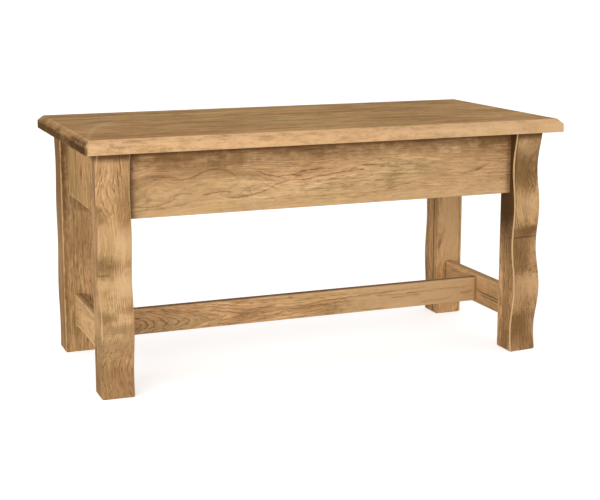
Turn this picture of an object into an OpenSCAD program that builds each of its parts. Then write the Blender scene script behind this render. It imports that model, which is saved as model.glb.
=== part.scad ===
// Bench for the end of a bed: a chamfered plank top on four posts whose outer faces
// are sawn to a slow wave, with four aprons under the top and an H of stretchers below.
// Frame: X along the bench, Y from front to back, Z up, origin on the floor at the
// middle of the bench. Pieces are drawn for the right-hand back corner and mirrored.

/* [Overall] */
// Height of the seat above the floor
seat_h = 457; // [400:1:520]
// Length of the top
top_len = 914; // [760:1:1400]
// Depth of the top, front to back
top_depth = 432; // [380:1:520]

/* [Top] */
// Thickness of the top boards
top_t = 25; // [20:0.5:38]
// Width of the chamfer round the upper edge
chamfer = 9.5; // [3:0.5:14]
// Width of each of the two middle boards
mid_board_w = 116; // [90:1:140]
// How far the top passes the posts at each end
overhang_end = 25; // [15:1:50]
// How far the top passes the posts at the front and the back
overhang_side = 26; // [15:1:45]

/* [Posts] */
// Width of a post along the bench
post_w = 58; // [50:1:80]
// Depth of a post at the highest crest of its wave
post_d = 60; // [54:1:80]
// Chamfer round the foot of a post
foot_chamfer = 2; // [1:0.5:4]
// Height of the wave's highest crest above the floor
crest_z = 126; // [60:1:200]
// Distance from crest to crest of the wave
ripple_pitch = 160; // [120:1:240]
// Depth of the wave from crest to trough
ripple_depth = 10; // [4:0.5:12]
// Length of the slower sway that the wave rides on
sway_pitch = 366; // [300:1:500]
// Depth of the slower sway
sway_depth = 6; // [1:0.5:8]

/* [Aprons] */
// Height of the aprons
apron_h = 120; // [90:1:150]
// Thickness of the aprons
apron_t = 19; // [16:0.5:25]
// Step from a post's crest line back to the face of a long apron
side_setback = 26; // [20:1:32]
// Step from a post's end face back to the face of an end apron
end_setback = 14; // [8:1:22]

/* [Stretchers] */
// Thickness of all three stretchers
stretcher_t = 19; // [16:0.5:28]
// Height of the end stretchers
end_stretcher_h = 60; // [50:1:80]
// Height of the middle stretcher
mid_stretcher_h = 49; // [40:1:58]
// Clear height under the end stretchers
stretcher_z = 56; // [30:1:120]

/* [Joinery] */
// Thickness of every tenon
tenon_t = 10; // [6:0.5:12]
// Length of the tenons on the end aprons and end stretchers
end_tenon_len = 25; // [15:1:32]
// Length of the tenons on the middle stretcher
mid_tenon_len = 12; // [6:0.5:14]
// Wood left in a post between its two apron mortises
mortise_wall = 4; // [2:0.5:8]
// Shoulder above and below an apron's tenon
apron_shoulder = 12; // [8:1:20]
// Shoulder above and below a stretcher's tenon
stretcher_shoulder = 7; // [4:0.5:12]
// Side clearance of a tenon in its mortise
fit_gap = 0.15; // [0.05:0.05:0.3]
// Clearance past the end of a tenon
end_gap = 1; // [0.5:0.25:2]
// Width of the eased edges on aprons, stretchers and the posts' inner corners
ease = 1.5; // [0.5:0.25:3]

/* [Corner blocks] */
// Height of a corner block
block_h = 45; // [40:1:60]
// Reach of a corner block along each apron
block_reach = 50; // [44:1:60]
// Blunt end of a corner block, square to the apron
block_nose = 7; // [4:0.5:12]
// Wood under the head of a corner block's side screw
block_grip = 17; // [14:0.5:20]
// Drop of a corner block's side screws below the top
block_screw_drop = 32; // [28:0.5:34]
// Distance of a side screw past the post, along the apron
block_screw_off = 24; // [22:0.5:30]
// Distance of a corner block's upright screw from the post's two inner faces
block_bolt_off = 10; // [8:0.5:11]

/* [Top buttons] */
// Length of a button along the apron
button_len = 40; // [30:1:60]
// Depth of a button, measured out from the apron
button_w = 26; // [22:0.5:36]
// Drop of the button groove below the top
groove_drop = 12; // [10:0.5:14]
// Depth of the button groove in the apron
groove_deep = 8; // [5:0.5:9]
// Distance that the button groove stops short of an apron's shoulders
groove_stop = 12; // [6:1:25]
// Thickness of a button's tongue
tongue_t = 8; // [6:0.5:10]
// Reach of a button's tongue into the groove
tongue_len = 6; // [4:0.5:7]
// Slack between the tongue and the groove's lower wall
tongue_gap = 0.4; // [0.2:0.1:1]
// Gap that lets a button draw the top down
button_gap = 0.5; // [0.3:0.1:1.5]
// Clear run between a corner block and the nearest button on a long apron
side_button_room = 54; // [10:1:90]
// Clear run between a corner block and the nearest button on an end apron
end_button_room = 5; // [3:0.5:10]

/* [Screws] */
// Diameter of the screws
screw_d = 4.4; // [3.5:0.1:5]
// Diameter of the screw heads
screw_head_d = 8.6; // [8.2:0.1:9.5]
// Length of the screws that hold the top
top_screw_len = 35; // [30:1:37]
// Length of the screws through the corner blocks into the aprons
block_screw_len = 30; // [26:0.5:32]
// Length of a screw's pointed tip
screw_tip = 5; // [3:0.5:8]
// Side clearance round a screw's shank
screw_gap = 0.1; // [0.05:0.05:0.3]
// Side clearance round a screw's head where it is sunk in a bore
head_gap = 0.7; // [0.4:0.1:1.2]
// Depth of the cross recess in a screw's head
recess_deep = 1.6; // [1:0.1:1.8]
// Span of the cross recess in a screw's head
recess_span = 4.4; // [3.6:0.1:4.8]
// Width of the cross recess in a screw's head
recess_w = 1; // [0.8:0.1:1.4]

/* [Hidden] */
$fn = 48;
cut = 1;
wave_steps = 54;
top_colour = "#b08c5c";
post_colour = "#bd935f";
apron_colour = "#ba9465";
stretcher_colour = "#c29862";
inner_colour = "#d2b48c";
screw_colour = "silver";
post_h = seat_h - top_t;
post_x = top_len / 2 - overhang_end;
post_y = top_depth / 2 - overhang_side;
inner_x = post_x - post_w;
inner_y = post_y - post_d;
// Outer and inner faces of the aprons, and the middle planes of their tenons
side_out = post_y - side_setback;
side_in = side_out - apron_t;
side_mid = side_out - apron_t / 2;
end_out = post_x - end_setback;
end_in = end_out - apron_t;
end_mid = end_out - apron_t / 2;
apron_z = post_h - apron_h;
side_tenon_len = end_mid - tenon_t / 2 - mortise_wall - end_gap - inner_x;
// Stretchers stand on the middle planes of the posts and of the bench
stretcher_x = post_x - post_w / 2;
stretcher_in = stretcher_x - stretcher_t / 2;
mid_stretcher_z = stretcher_z + (end_stretcher_h - mid_stretcher_h) / 2;
// Screws that hold the top all bite to the same depth
top_grip = groove_drop + tongue_t;
pilot_over = 1;
head_h = (screw_head_d - screw_d) / 2;

// Depth of the sawn wave behind the blank's face at height z
function wave(z) =
    ripple_depth / 2 * (1 - cos(360 * (z - crest_z) / ripple_pitch))
    + sway_depth / 2 * (1 - cos(360 * (z - crest_z) / sway_pitch));

// Places of the three buttons along a long apron, and of the two along an end apron
side_buttons = [
    for (i = [-1 : 1])
        i * (inner_x - block_reach - side_button_room - button_len / 2)
];
end_buttons = [
    for (i = [-1, 1])
        i * (inner_y - block_reach - end_button_room - button_len / 2)
];
button_hole = button_w / 2;

// Puts a piece drawn for the back right corner at the corner with the given signs
module at_corner(sx, sy) {
    mirror([sx < 0 ? 1 : 0, 0, 0])
        mirror([0, sy < 0 ? 1 : 0, 0])
            children();
}

module at_all_corners() {
    for (sx = [-1, 1])
        for (sy = [-1, 1])
            at_corner(sx, sy) children();
}

// Extrudes a YZ outline along X, and an XZ outline along Y
module along_x(x0, x1) {
    translate([x0, 0, 0])
        rotate([90, 0, 90])
            linear_extrude(x1 - x0) children();
}

module along_y(y0, y1) {
    translate([0, y1, 0])
        rotate([90, 0, 0])
            linear_extrude(y1 - y0) children();
}

// Rectangle with eased corners: lower ones always, upper ones where asked
module eased_section(a0, a1, z0, z1, ease_top) {
    eased_upper = [
        [a1, z1 - ease],
        [a1 - ease, z1],
        [a0 + ease, z1],
        [a0, z1 - ease]
    ];
    square_upper = [[a1, z1], [a0, z1]];
    polygon(concat(
        [[a0, z0 + ease], [a0 + ease, z0], [a1 - ease, z0], [a1, z0 + ease]],
        ease_top ? eased_upper : square_upper
    ));
}

// Block between two opposite corners, given as low and high points
module box_between(low, high) {
    translate(low) cube(high - low);
}

// Countersunk screw: its head's face at the origin, pointing up
module screw(len) {
    difference() {
        rotate_extrude()
            polygon([
                [0, 0],
                [screw_head_d / 2, 0],
                [screw_d / 2, head_h],
                [screw_d / 2, len - screw_tip],
                [0, len]
            ]);
        for (turn = [0, 90])
            rotate([0, 0, turn])
                translate([-recess_span / 2, -recess_w / 2, -cut])
                    cube([recess_span, recess_w, cut + recess_deep]);
    }
}

// Bore for a screw: pilot, countersink, and an open way down to its head
module screw_bore(len, way) {
    cylinder(d = screw_d + 2 * screw_gap, h = len + pilot_over);
    cylinder(d1 = screw_head_d + 2 * screw_gap, d2 = screw_d + 2 * screw_gap, h = head_h);
    translate([0, 0, -way])
        cylinder(d = screw_head_d + 2 * head_gap, h = way);
}

// Turns upward screws to point outward, into an end apron or a long apron
module point_to_end() {
    rotate([0, 90, 0]) children();
}

module point_to_side() {
    rotate([-90, 0, 0]) children();
}

// Places of the screws that hold the top: ten through buttons, four through blocks
module at_top_screws() {
    translate([0, 0, post_h - top_grip]) {
        for (sy = [-1, 1])
            for (x = side_buttons)
                translate([x, sy * (side_in - button_hole), 0]) children();
        for (sx = [-1, 1])
            for (y = end_buttons)
                translate([sx * (end_in - button_hole), y, 0]) children();
        at_all_corners()
            translate([inner_x - block_bolt_off, inner_y - block_bolt_off, 0])
                children();
    }
}

// Places of one corner block's two side screws, head first
module at_block_screws() {
    z = post_h - block_screw_drop;
    translate([inner_x - block_screw_off, side_in - block_grip, z])
        point_to_side() children();
    translate([end_in - block_grip, inner_y - block_screw_off, z])
        point_to_end() children();
}

// Whole top before it is parted into boards
module top_blank() {
    x = top_len / 2;
    y = top_depth / 2;
    intersection() {
        along_y(-y, y)
            polygon([
                [-x, post_h],
                [x, post_h],
                [x, seat_h - chamfer],
                [x - chamfer, seat_h],
                [-x + chamfer, seat_h],
                [-x, seat_h - chamfer]
            ]);
        along_x(-x, x)
            polygon([
                [-y, post_h],
                [y, post_h],
                [y, seat_h - chamfer],
                [y - chamfer, seat_h],
                [-y + chamfer, seat_h],
                [-y, seat_h - chamfer]
            ]);
    }
}

// One board of the top, between two planes square to Y
module top_board(y0, y1) {
    color(top_colour)
        difference() {
            intersection() {
                top_blank();
                box_between([-top_len, y0, 0], [top_len, y1, 2 * seat_h]);
            }
            at_top_screws() screw_bore(top_screw_len, cut);
        }
}

// Tenon outlines, grown by a clearance where they cut a mortise
module side_apron_tenons(grow, over) {
    box_between(
        [-inner_x - side_tenon_len - over, side_mid - tenon_t / 2 - grow,
            apron_z + apron_shoulder - grow],
        [inner_x + side_tenon_len + over, side_mid + tenon_t / 2 + grow,
            post_h - apron_shoulder + grow]
    );
}

module end_apron_tenons(grow, over) {
    box_between(
        [end_mid - tenon_t / 2 - grow, -inner_y - end_tenon_len - over,
            apron_z + apron_shoulder - grow],
        [end_mid + tenon_t / 2 + grow, inner_y + end_tenon_len + over,
            post_h - apron_shoulder + grow]
    );
}

module end_stretcher_tenons(grow, over) {
    box_between(
        [stretcher_x - tenon_t / 2 - grow, -inner_y - end_tenon_len - over,
            stretcher_z + stretcher_shoulder - grow],
        [stretcher_x + tenon_t / 2 + grow, inner_y + end_tenon_len + over,
            stretcher_z + end_stretcher_h - stretcher_shoulder + grow]
    );
}

module mid_stretcher_tenons(grow, over) {
    box_between(
        [-stretcher_in - mid_tenon_len - over, -tenon_t / 2 - grow,
            mid_stretcher_z + stretcher_shoulder - grow],
        [stretcher_in + mid_tenon_len + over, tenon_t / 2 + grow,
            mid_stretcher_z + mid_stretcher_h - stretcher_shoulder + grow]
    );
}

// Post with its outer face sawn to the wave, mortised on its two inner faces
module post() {
    color(post_colour)
        difference() {
            intersection() {
                along_x(inner_x, post_x)
                    polygon(concat(
                        [
                            [inner_y + foot_chamfer, 0],
                            [post_y - wave(0) - foot_chamfer, 0]
                        ],
                        [
                            for (i = [0 : wave_steps])
                                let (z = foot_chamfer
                                    + (post_h - foot_chamfer) * i / wave_steps)
                                    [post_y - wave(z), z]
                        ],
                        [
                            [inner_y, post_h],
                            [inner_y, foot_chamfer]
                        ]
                    ));
                along_y(inner_y, post_y)
                    polygon([
                        [inner_x + foot_chamfer, 0],
                        [post_x - foot_chamfer, 0],
                        [post_x, foot_chamfer],
                        [post_x, post_h],
                        [inner_x, post_h],
                        [inner_x, foot_chamfer]
                    ]);
                linear_extrude(post_h)
                    polygon([
                        [inner_x + ease, inner_y],
                        [post_x - ease, inner_y],
                        [post_x, inner_y + ease],
                        [post_x, post_y],
                        [inner_x, post_y],
                        [inner_x, inner_y + ease]
                    ]);
            }
            side_apron_tenons(fit_gap, end_gap);
            end_apron_tenons(fit_gap, end_gap);
            end_stretcher_tenons(fit_gap, end_gap);
        }
}

// Long apron, with a groove for the buttons along its inner face
module side_apron() {
    color(apron_colour)
        difference() {
            union() {
                along_x(-inner_x, inner_x)
                    eased_section(side_in, side_out, apron_z, post_h, false);
                side_apron_tenons(0, 0);
            }
            box_between(
                [-inner_x + groove_stop, side_in - cut,
                    post_h - top_grip - tongue_gap],
                [inner_x - groove_stop, side_in + groove_deep,
                    post_h - groove_drop]
            );
            for (sx = [-1, 1])
                at_corner(sx, 1) at_block_screws() screw_bore(block_screw_len, cut);
        }
}

module end_apron() {
    color(apron_colour)
        difference() {
            union() {
                along_y(-inner_y, inner_y)
                    eased_section(end_in, end_out, apron_z, post_h, false);
                end_apron_tenons(0, 0);
            }
            box_between(
                [end_in - cut, -inner_y + groove_stop,
                    post_h - top_grip - tongue_gap],
                [end_in + groove_deep, inner_y - groove_stop,
                    post_h - groove_drop]
            );
            for (sy = [-1, 1])
                at_corner(1, sy) at_block_screws() screw_bore(block_screw_len, cut);
        }
}

// End stretcher, mortised on its inner face for the middle one
module end_stretcher() {
    color(stretcher_colour)
        difference() {
            union() {
                along_y(-inner_y, inner_y)
                    eased_section(stretcher_in, stretcher_in + stretcher_t,
                        stretcher_z, stretcher_z + end_stretcher_h, true);
                end_stretcher_tenons(0, 0);
            }
            mid_stretcher_tenons(fit_gap, end_gap);
        }
}

module mid_stretcher() {
    color(stretcher_colour) {
        along_x(-stretcher_in, stretcher_in)
            eased_section(-stretcher_t / 2, stretcher_t / 2,
                mid_stretcher_z, mid_stretcher_z + mid_stretcher_h, true);
        mid_stretcher_tenons(0, 0);
    }
}

// Block across a corner, notched round the post and screwed to both aprons
module corner_block() {
    color(inner_colour)
        difference() {
            translate([0, 0, post_h - block_h])
                linear_extrude(block_h)
                    polygon([
                        [inner_x, side_in],
                        [inner_x - block_reach, side_in],
                        [inner_x - block_reach, side_in - block_nose],
                        [end_in - block_nose, inner_y - block_reach],
                        [end_in, inner_y - block_reach],
                        [end_in, inner_y],
                        [inner_x, inner_y]
                    ]);
            at_block_screws() screw_bore(block_screw_len, block_reach);
            translate([
                inner_x - block_bolt_off, inner_y - block_bolt_off, post_h - top_grip
            ])
                screw_bore(top_screw_len, block_h);
        }
}

// Button for the apron whose inner face is at Y = 0, reaching toward -Y
module button() {
    difference() {
        along_x(-button_len / 2, button_len / 2)
            polygon([
                [-button_w, post_h - top_grip],
                [tongue_len, post_h - top_grip],
                [tongue_len, post_h - groove_drop],
                [0, post_h - groove_drop],
                [0, post_h - button_gap],
                [-button_w, post_h - button_gap]
            ]);
        translate([0, -button_hole, post_h - top_grip])
            screw_bore(top_screw_len, cut);
    }
}

module top_buttons() {
    color(inner_colour) {
        for (sy = [-1, 1])
            for (x = side_buttons)
                at_corner(1, sy)
                    translate([x, side_in, 0]) button();
        for (sx = [-1, 1])
            for (y = end_buttons)
                at_corner(sx, 1)
                    translate([end_in, y, 0]) rotate([0, 0, -90]) button();
    }
}

module top_screws() {
    color(screw_colour) at_top_screws() screw(top_screw_len);
}

module block_screws() {
    color(screw_colour)
        at_all_corners() at_block_screws() screw(block_screw_len);
}

top_board(-top_depth / 2, -mid_board_w);  // top_board_front
top_board(-mid_board_w, 0);  // top_board_mid_front
top_board(0, mid_board_w);  // top_board_mid_back
top_board(mid_board_w, top_depth / 2);  // top_board_back
at_corner(-1, -1) post();  // post_front_left
at_corner(1, -1) post();  // post_front_right
at_corner(-1, 1) post();  // post_back_left
at_corner(1, 1) post();  // post_back_right
at_corner(1, -1) side_apron();  // apron_front
at_corner(1, 1) side_apron();  // apron_back
at_corner(-1, 1) end_apron();  // apron_left
at_corner(1, 1) end_apron();  // apron_right
at_corner(-1, 1) end_stretcher();  // stretcher_left
at_corner(1, 1) end_stretcher();  // stretcher_right
mid_stretcher();  // stretcher_middle
at_corner(-1, -1) corner_block();  // corner_block_front_left
at_corner(1, -1) corner_block();  // corner_block_front_right
at_corner(-1, 1) corner_block();  // corner_block_back_left
at_corner(1, 1) corner_block();  // corner_block_back_right
top_buttons();
top_screws();
block_screws();
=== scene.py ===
from functools import cache, partialmethod
from math import pi, radians

import bmesh
import bpy
from bpy.props import FloatProperty, FloatVectorProperty, IntProperty, PointerProperty
from mathutils import Matrix, Vector


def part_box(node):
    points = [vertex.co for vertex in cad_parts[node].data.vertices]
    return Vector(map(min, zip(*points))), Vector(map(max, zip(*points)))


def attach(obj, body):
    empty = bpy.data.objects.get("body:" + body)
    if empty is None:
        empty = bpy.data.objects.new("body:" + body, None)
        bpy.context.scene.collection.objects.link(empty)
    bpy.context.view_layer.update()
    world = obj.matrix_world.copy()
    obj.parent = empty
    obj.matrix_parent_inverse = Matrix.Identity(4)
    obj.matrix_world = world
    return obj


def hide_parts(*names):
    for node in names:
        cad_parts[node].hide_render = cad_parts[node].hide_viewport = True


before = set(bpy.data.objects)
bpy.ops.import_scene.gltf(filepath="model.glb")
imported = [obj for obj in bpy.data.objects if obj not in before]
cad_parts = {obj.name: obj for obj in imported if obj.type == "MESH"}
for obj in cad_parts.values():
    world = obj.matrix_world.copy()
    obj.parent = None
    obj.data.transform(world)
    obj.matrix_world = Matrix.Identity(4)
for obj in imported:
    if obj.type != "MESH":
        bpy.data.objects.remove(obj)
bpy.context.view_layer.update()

bl_info = {
    "name": "Bench for the End of a Bed",
    "version": (1, 0, 0),
    "blender": (4, 5, 0),
    "location": "View3D > Sidebar > Bench",
    "description": "Builds a rustic bench with a board top and wave-sawn posts",
    "category": "Add Mesh",
}

BOARDS = ["top_board_front", "top_board_mid_front", "top_board_mid_back", "top_board_back"]
POSTS = ["post_front_left", "post_front_right", "post_back_left", "post_back_right"]
APRONS = ["apron_front", "apron_back", "apron_left", "apron_right"]
STRETCHERS = ["stretcher_left", "stretcher_right", "stretcher_middle"]
BLOCKS = [
    "corner_block_front_left",
    "corner_block_front_right",
    "corner_block_back_left",
    "corner_block_back_right",
]

# Turns that bring the grain of a piece that runs along X, Y or Z onto X
GRAIN_TURNS = {"X": (0, 0, 0), "Y": (0, 0, -pi / 2), "Z": (0, pi / 2, 0)}
GRAIN_AXES = {"X": (1, 0, 0), "Y": (0, 1, 0), "Z": (0, 0, 1)}

# Two corners closer than this are one, and two faces closer than this are level
SAME = 0.00001

# Faces that meet at less than this are one flat face
FLAT_TURN = radians(0.5)
# Only an edge that is longer and turns more than this is rounded
SHORT_EDGE = 0.002
ROUNDED_TURN = radians(20)
# Faces that meet at more than this keep a sharp edge in the shading
SHARP_TURN = radians(38)


def stain(red, green, blue):
    """A colour given as it looks on a screen, 0 to 255, as Blender stores it."""

    def linear(value):
        value /= 255
        return value / 12.92 if value <= 0.04045 else ((value + 0.055) / 1.055) ** 2.4

    return (linear(red), linear(green), linear(blue), 1.0)


def span(boxes):
    """Lowest and highest corners of several boxes, or lists of points, taken together."""
    points = [Vector(point) for box in boxes for point in box]
    low = Vector([min(point[i] for point in points) for i in range(3)])
    high = Vector([max(point[i] for point in points) for i in range(3)])
    return low, high


def values_of(group):
    """The settings of a group by name, ready to hand to a node tree."""
    return {name: getattr(group, name) for name in group.__annotations__}


def label(name):
    """The label that a setting's name has on a node's socket."""
    return name.replace("_", " ").title()


# Settings


def a_length(name, default, description):
    """A setting in metres, with the name and the description that the panel shows."""
    return FloatProperty(name=name, description=description, default=default, unit="LENGTH")


def a_power(name, default, description):
    """A setting in watts."""
    return FloatProperty(name=name, description=description, default=default, unit="POWER")


def a_number(name, default, description):
    """A setting with no unit."""
    return FloatProperty(name=name, description=description, default=default)


def a_colour(name, default, description):
    """A setting that is a colour of the finish."""
    return FloatVectorProperty(
        name=name, description=description, default=default, subtype="COLOR", size=4
    )


class BenchPostShape(bpy.types.PropertyGroup):
    """Shape of the wave that the posts are sawn to."""

    crest_height: a_length("Crest Height", 0.126, "Height of the highest crest above the floor")
    ripple_pitch: a_length("Ripple Pitch", 0.160, "Distance from crest to crest")
    ripple_depth: a_length("Ripple Depth", 0.010, "Depth of the wave from crest to trough")
    sway_pitch: a_length("Sway Pitch", 0.366, "Length of the slower sway that the wave rides on")
    sway_depth: a_length("Sway Depth", 0.006, "Depth of the slower sway")
    arris: a_length("Arris", 0.0022, "Radius that the long edges of a post are rounded to")
    foot_chamfer: a_length("Foot Chamfer", 0.002, "Chamfer round the foot of a post")
    unevenness: a_length("Unevenness", 0.0006, "Depth of the sander's dips in the wavy face")
    rings: IntProperty(
        name="Rings",
        description="Number of sections along the height of a post",
        default=217,
        min=60,
    )


class BenchJoinery(bpy.types.PropertyGroup):
    """Sizes of the joints and of the eased edges."""

    tenon: a_length("Tenon", 0.010, "Thickness of every tenon")
    end_tenon: a_length("End Tenon", 0.025, "Length of the tenons on end aprons and stretchers")
    long_tenon: a_length("Long Tenon", 0.0245, "Length of the tenons on front and back aprons")
    apron_shoulder: a_length("Apron Shoulder", 0.012, "Shoulder over and under an apron's tenon")
    stretcher_shoulder: a_length(
        "Stretcher Shoulder", 0.007, "Shoulder over and under a stretcher's tenon"
    )
    cheek_gap: a_length("Cheek Gap", 0.00015, "Clearance at the cheeks of a tenon")
    end_gap: a_length("End Gap", 0.001, "Clearance past the end of a tenon")
    board_edge: a_length("Board Edge", 0.0013, "Rounding of the edges of the top")
    rail_edge: a_length("Rail Edge", 0.0007, "Rounding of the edges of aprons and stretchers")
    inner_edge: a_length("Inner Edge", 0.0008, "Rounding of the corner blocks and buttons")


class BenchScrewSizes(bpy.types.PropertyGroup):
    """Sizes of the countersunk wood screws."""

    head: a_length("Head", 0.0086, "Diameter of the head")
    shank: a_length("Shank", 0.0044, "Diameter of the thread")
    core: a_length("Core", 0.0031, "Diameter under the thread")
    tip: a_length("Tip", 0.005, "Length of the point")
    pitch: a_length("Pitch", 0.0018, "Rise of the thread in a turn")
    recess_span: a_length("Recess Span", 0.0044, "Span of the cross recess")
    recess_width: a_length("Recess Width", 0.001, "Width of the cross recess")
    recess_depth: a_length("Recess Depth", 0.0016, "Depth of the cross recess")


class BenchFinish(bpy.types.PropertyGroup):
    """Colours of the stained wood, the bare wood inside and the screws."""

    light: a_colour("Light Grain", stain(212, 172, 124), "Palest wood between the growth rings")
    body: a_colour("Body", stain(190, 151, 105), "Colour of most of the wood")
    dark: a_colour("Dark Grain", stain(118, 84, 49), "Colour of the growth rings and pores")
    # Besides wear, this colour is painted highlight: the pale lines along the arrises of the
    # posts and along the top's front edge.
    worn: a_colour("Worn Edge", stain(226, 188, 140), "Where the stain is rubbed off the edges")
    bevel: a_colour("Bevel", stain(233, 187, 142), "Sanded bevel and edge of the top")
    red: a_colour("Red Heart", stain(140, 86, 50), "Reddish streaks of heartwood")
    # This colour is glaze in knots, grain lines, glue lines and end grain, and also painted
    # shade: under the top, in the corners where rails meet posts, and on inner faces.
    glaze: a_colour("Glaze", stain(84, 58, 33), "Stain that gathers in corners and knots")
    bare: a_colour("Bare Wood", stain(206, 176, 132), "Unstained wood of the blocks and buttons")
    steel: a_colour("Screw Steel", stain(176, 174, 164), "Zinc plate on the screws")


class BenchStage(bpy.types.PropertyGroup):
    """Light, floor and camera."""

    key_power: a_power("Key Power", 68.0, "Power of the large soft light at the front left")
    fill_power: a_power("Fill Power", 5.0, "Power of the soft light at the front right")
    room_light: a_number("Room Light", 0.62, "Strength of the even light from all round")
    focal_length: a_number("Focal Length", 78.0, "Focal length, in mm on a 36 mm wide frame")
    lens_rise: a_number("Lens Rise", -0.075, "Shift of the lens, as a share of the frame's width")
    camera_place: FloatVectorProperty(
        name="Camera Place",
        description="Where the camera stands",
        subtype="TRANSLATION",
        default=(-0.9013, -2.3083, 0.7286),
    )
    camera_turn: FloatVectorProperty(
        name="Camera Turn",
        description="How the camera is turned",
        subtype="EULER",
        default=(radians(79.864), 0, radians(-21.453)),
    )


class BenchSettings(bpy.types.PropertyGroup):
    """Everything that can be set about the bench."""

    post: PointerProperty(type=BenchPostShape)
    joinery: PointerProperty(type=BenchJoinery)
    screw: PointerProperty(type=BenchScrewSizes)
    finish: PointerProperty(type=BenchFinish)
    stage: PointerProperty(type=BenchStage)


# Node wiring


class Wiring:
    """Adds nodes to a tree and links them, so that a formula reads in order."""

    def __init__(self, tree):
        self.tree = tree

    def put(self, kind, inputs=None, **settings):
        """A new node, with values or links on its inputs."""
        node = self.tree.nodes.new(kind)
        for name, value in settings.items():
            setattr(node, name, value)
        for key, value in (inputs or {}).items():
            self.feed(node.inputs[key], value)
        return node

    def made(self, kind, inputs=None, output=0, **settings):
        """One output of a new node."""
        return self.put(kind, inputs, **settings).outputs[output]

    def feed(self, socket, value):
        """Links an output to a socket, or sets the socket to a plain value."""
        if isinstance(value, bpy.types.NodeSocket):
            self.tree.links.new(value, socket)
        else:
            socket.default_value = value

    def maths(self, operation, *values, clamp=False):
        inputs = dict(enumerate(values))
        return self.made("ShaderNodeMath", inputs, operation=operation, use_clamp=clamp)

    add = partialmethod(maths, "ADD")
    subtract = partialmethod(maths, "SUBTRACT")
    multiply = partialmethod(maths, "MULTIPLY")
    multiply_add = partialmethod(maths, "MULTIPLY_ADD")
    divide = partialmethod(maths, "DIVIDE")
    larger = partialmethod(maths, "MAXIMUM")
    smaller = partialmethod(maths, "MINIMUM")
    absolute = partialmethod(maths, "ABSOLUTE")

    def vector(self, operation, *values):
        """Maths on vectors."""
        output = "Value" if operation in {"LENGTH", "DOT_PRODUCT"} else "Vector"
        inputs = dict(enumerate(values))
        return self.made("ShaderNodeVectorMath", inputs, output, operation=operation)

    def scaled(self, vector, scale):
        inputs = {"Vector": vector, "Scale": scale}
        return self.made("ShaderNodeVectorMath", inputs, "Vector", operation="SCALE")

    def combined(self, x, y, z):
        return self.made("ShaderNodeCombineXYZ", {"X": x, "Y": y, "Z": z})

    def split(self, vector):
        outputs = self.put("ShaderNodeSeparateXYZ", {"Vector": vector}).outputs
        return outputs["X"], outputs["Y"], outputs["Z"]

    def step(self, value, start, end, low=0.0, high=1.0):
        """A soft step from low, where the value is at start, to high, where it is at end."""
        return self.made(
            "ShaderNodeMapRange",
            {"Value": value, "From Min": start, "From Max": end, "To Min": low, "To Max": high},
            interpolation_type="SMOOTHSTEP",
        )

    def noise(self, vector, scale, detail=2.0, roughness=0.5, distortion=0.0):
        """Noise from 0 to 1 with this many swells to the metre."""
        inputs = {
            "Vector": vector,
            "Scale": scale,
            "Detail": detail,
            "Roughness": roughness,
            "Distortion": distortion,
        }
        return self.made("ShaderNodeTexNoise", inputs, "Fac")

    def stray(self, vector, scale, detail=2.0, roughness=0.5):
        """Noise that strays to both sides of nought."""
        return self.subtract(self.noise(vector, scale, detail, roughness), 0.5)

    def own_chance(self, number):
        """A random value and colour that belong to a whole number."""
        return self.put("ShaderNodeTexWhiteNoise", {"W": number}, noise_dimensions="1D").outputs

    def tint(self, amount, colour_a, colour_b, blend="MIX"):
        """One colour blended into another; the sockets go by number, as many share a name."""
        inputs = {0: amount, 6: colour_a, 7: colour_b}
        return self.made("ShaderNodeMix", inputs, 2, data_type="RGBA", blend_type=blend)

    def marked(self, colour, shade, mask, amount):
        """A colour with a shade laid over it where the mask is."""
        return self.tint(self.multiply(mask, amount), colour, shade)

    def dimmed(self, colour, level):
        """A colour made darker or brighter by a level, where 1 leaves it as it is."""
        return self.tint(1.0, colour, self.combined(level, level, level), "MULTIPLY")

    def effect(self, group, **values):
        """The outputs of a shared group that is given these values."""
        inputs = {label(name): value for name, value in values.items()}
        return self.put("ShaderNodeGroup", inputs, node_tree=group).outputs

    def surface(self, shader, kind="Material"):
        """Makes a shader the surface of the material or the world."""
        self.feed(self.put(f"ShaderNodeOutput{kind}").inputs["Surface"], shader.outputs[0])


def cleared(owner):
    """Wiring for a material or a world, whose own nodes are taken out."""
    owner.use_nodes = True
    owner.node_tree.nodes.clear()
    return Wiring(owner.node_tree)


FLOAT, VECTOR, COLOUR = "NodeSocketFloat", "NodeSocketVector", "NodeSocketColor"
GEOMETRY, OBJECT, MATERIAL = "NodeSocketGeometry", "NodeSocketObject", "NodeSocketMaterial"


def new_group(name, inputs, outputs, kind="ShaderNodeTree"):
    """A node group with named sockets; returns its wiring, inputs and output node."""
    tree = bpy.data.node_groups.new(name, kind)
    for label, default in inputs.items():
        socket_type = default if isinstance(default, str) else socket_for(default)
        socket = tree.interface.new_socket(label, in_out="INPUT", socket_type=socket_type)
        if not isinstance(default, str):
            socket.default_value = default
    for label, socket_type in outputs.items():
        tree.interface.new_socket(label, in_out="OUTPUT", socket_type=socket_type)
    w = Wiring(tree)
    return w, w.put("NodeGroupInput").outputs, w.put("NodeGroupOutput").inputs


def socket_for(default):
    if isinstance(default, int):
        return "NodeSocketInt"
    if isinstance(default, float):
        return FLOAT
    return VECTOR if len(default) == 3 else COLOUR


# Wood effects

# Inputs of an effect that has a place and a size on the piece
PLACED = {"Position": VECTOR, "Centre": (0.0, 0.0, 0.0), "Size": (0.03, 0.03, 0.03)}


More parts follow.
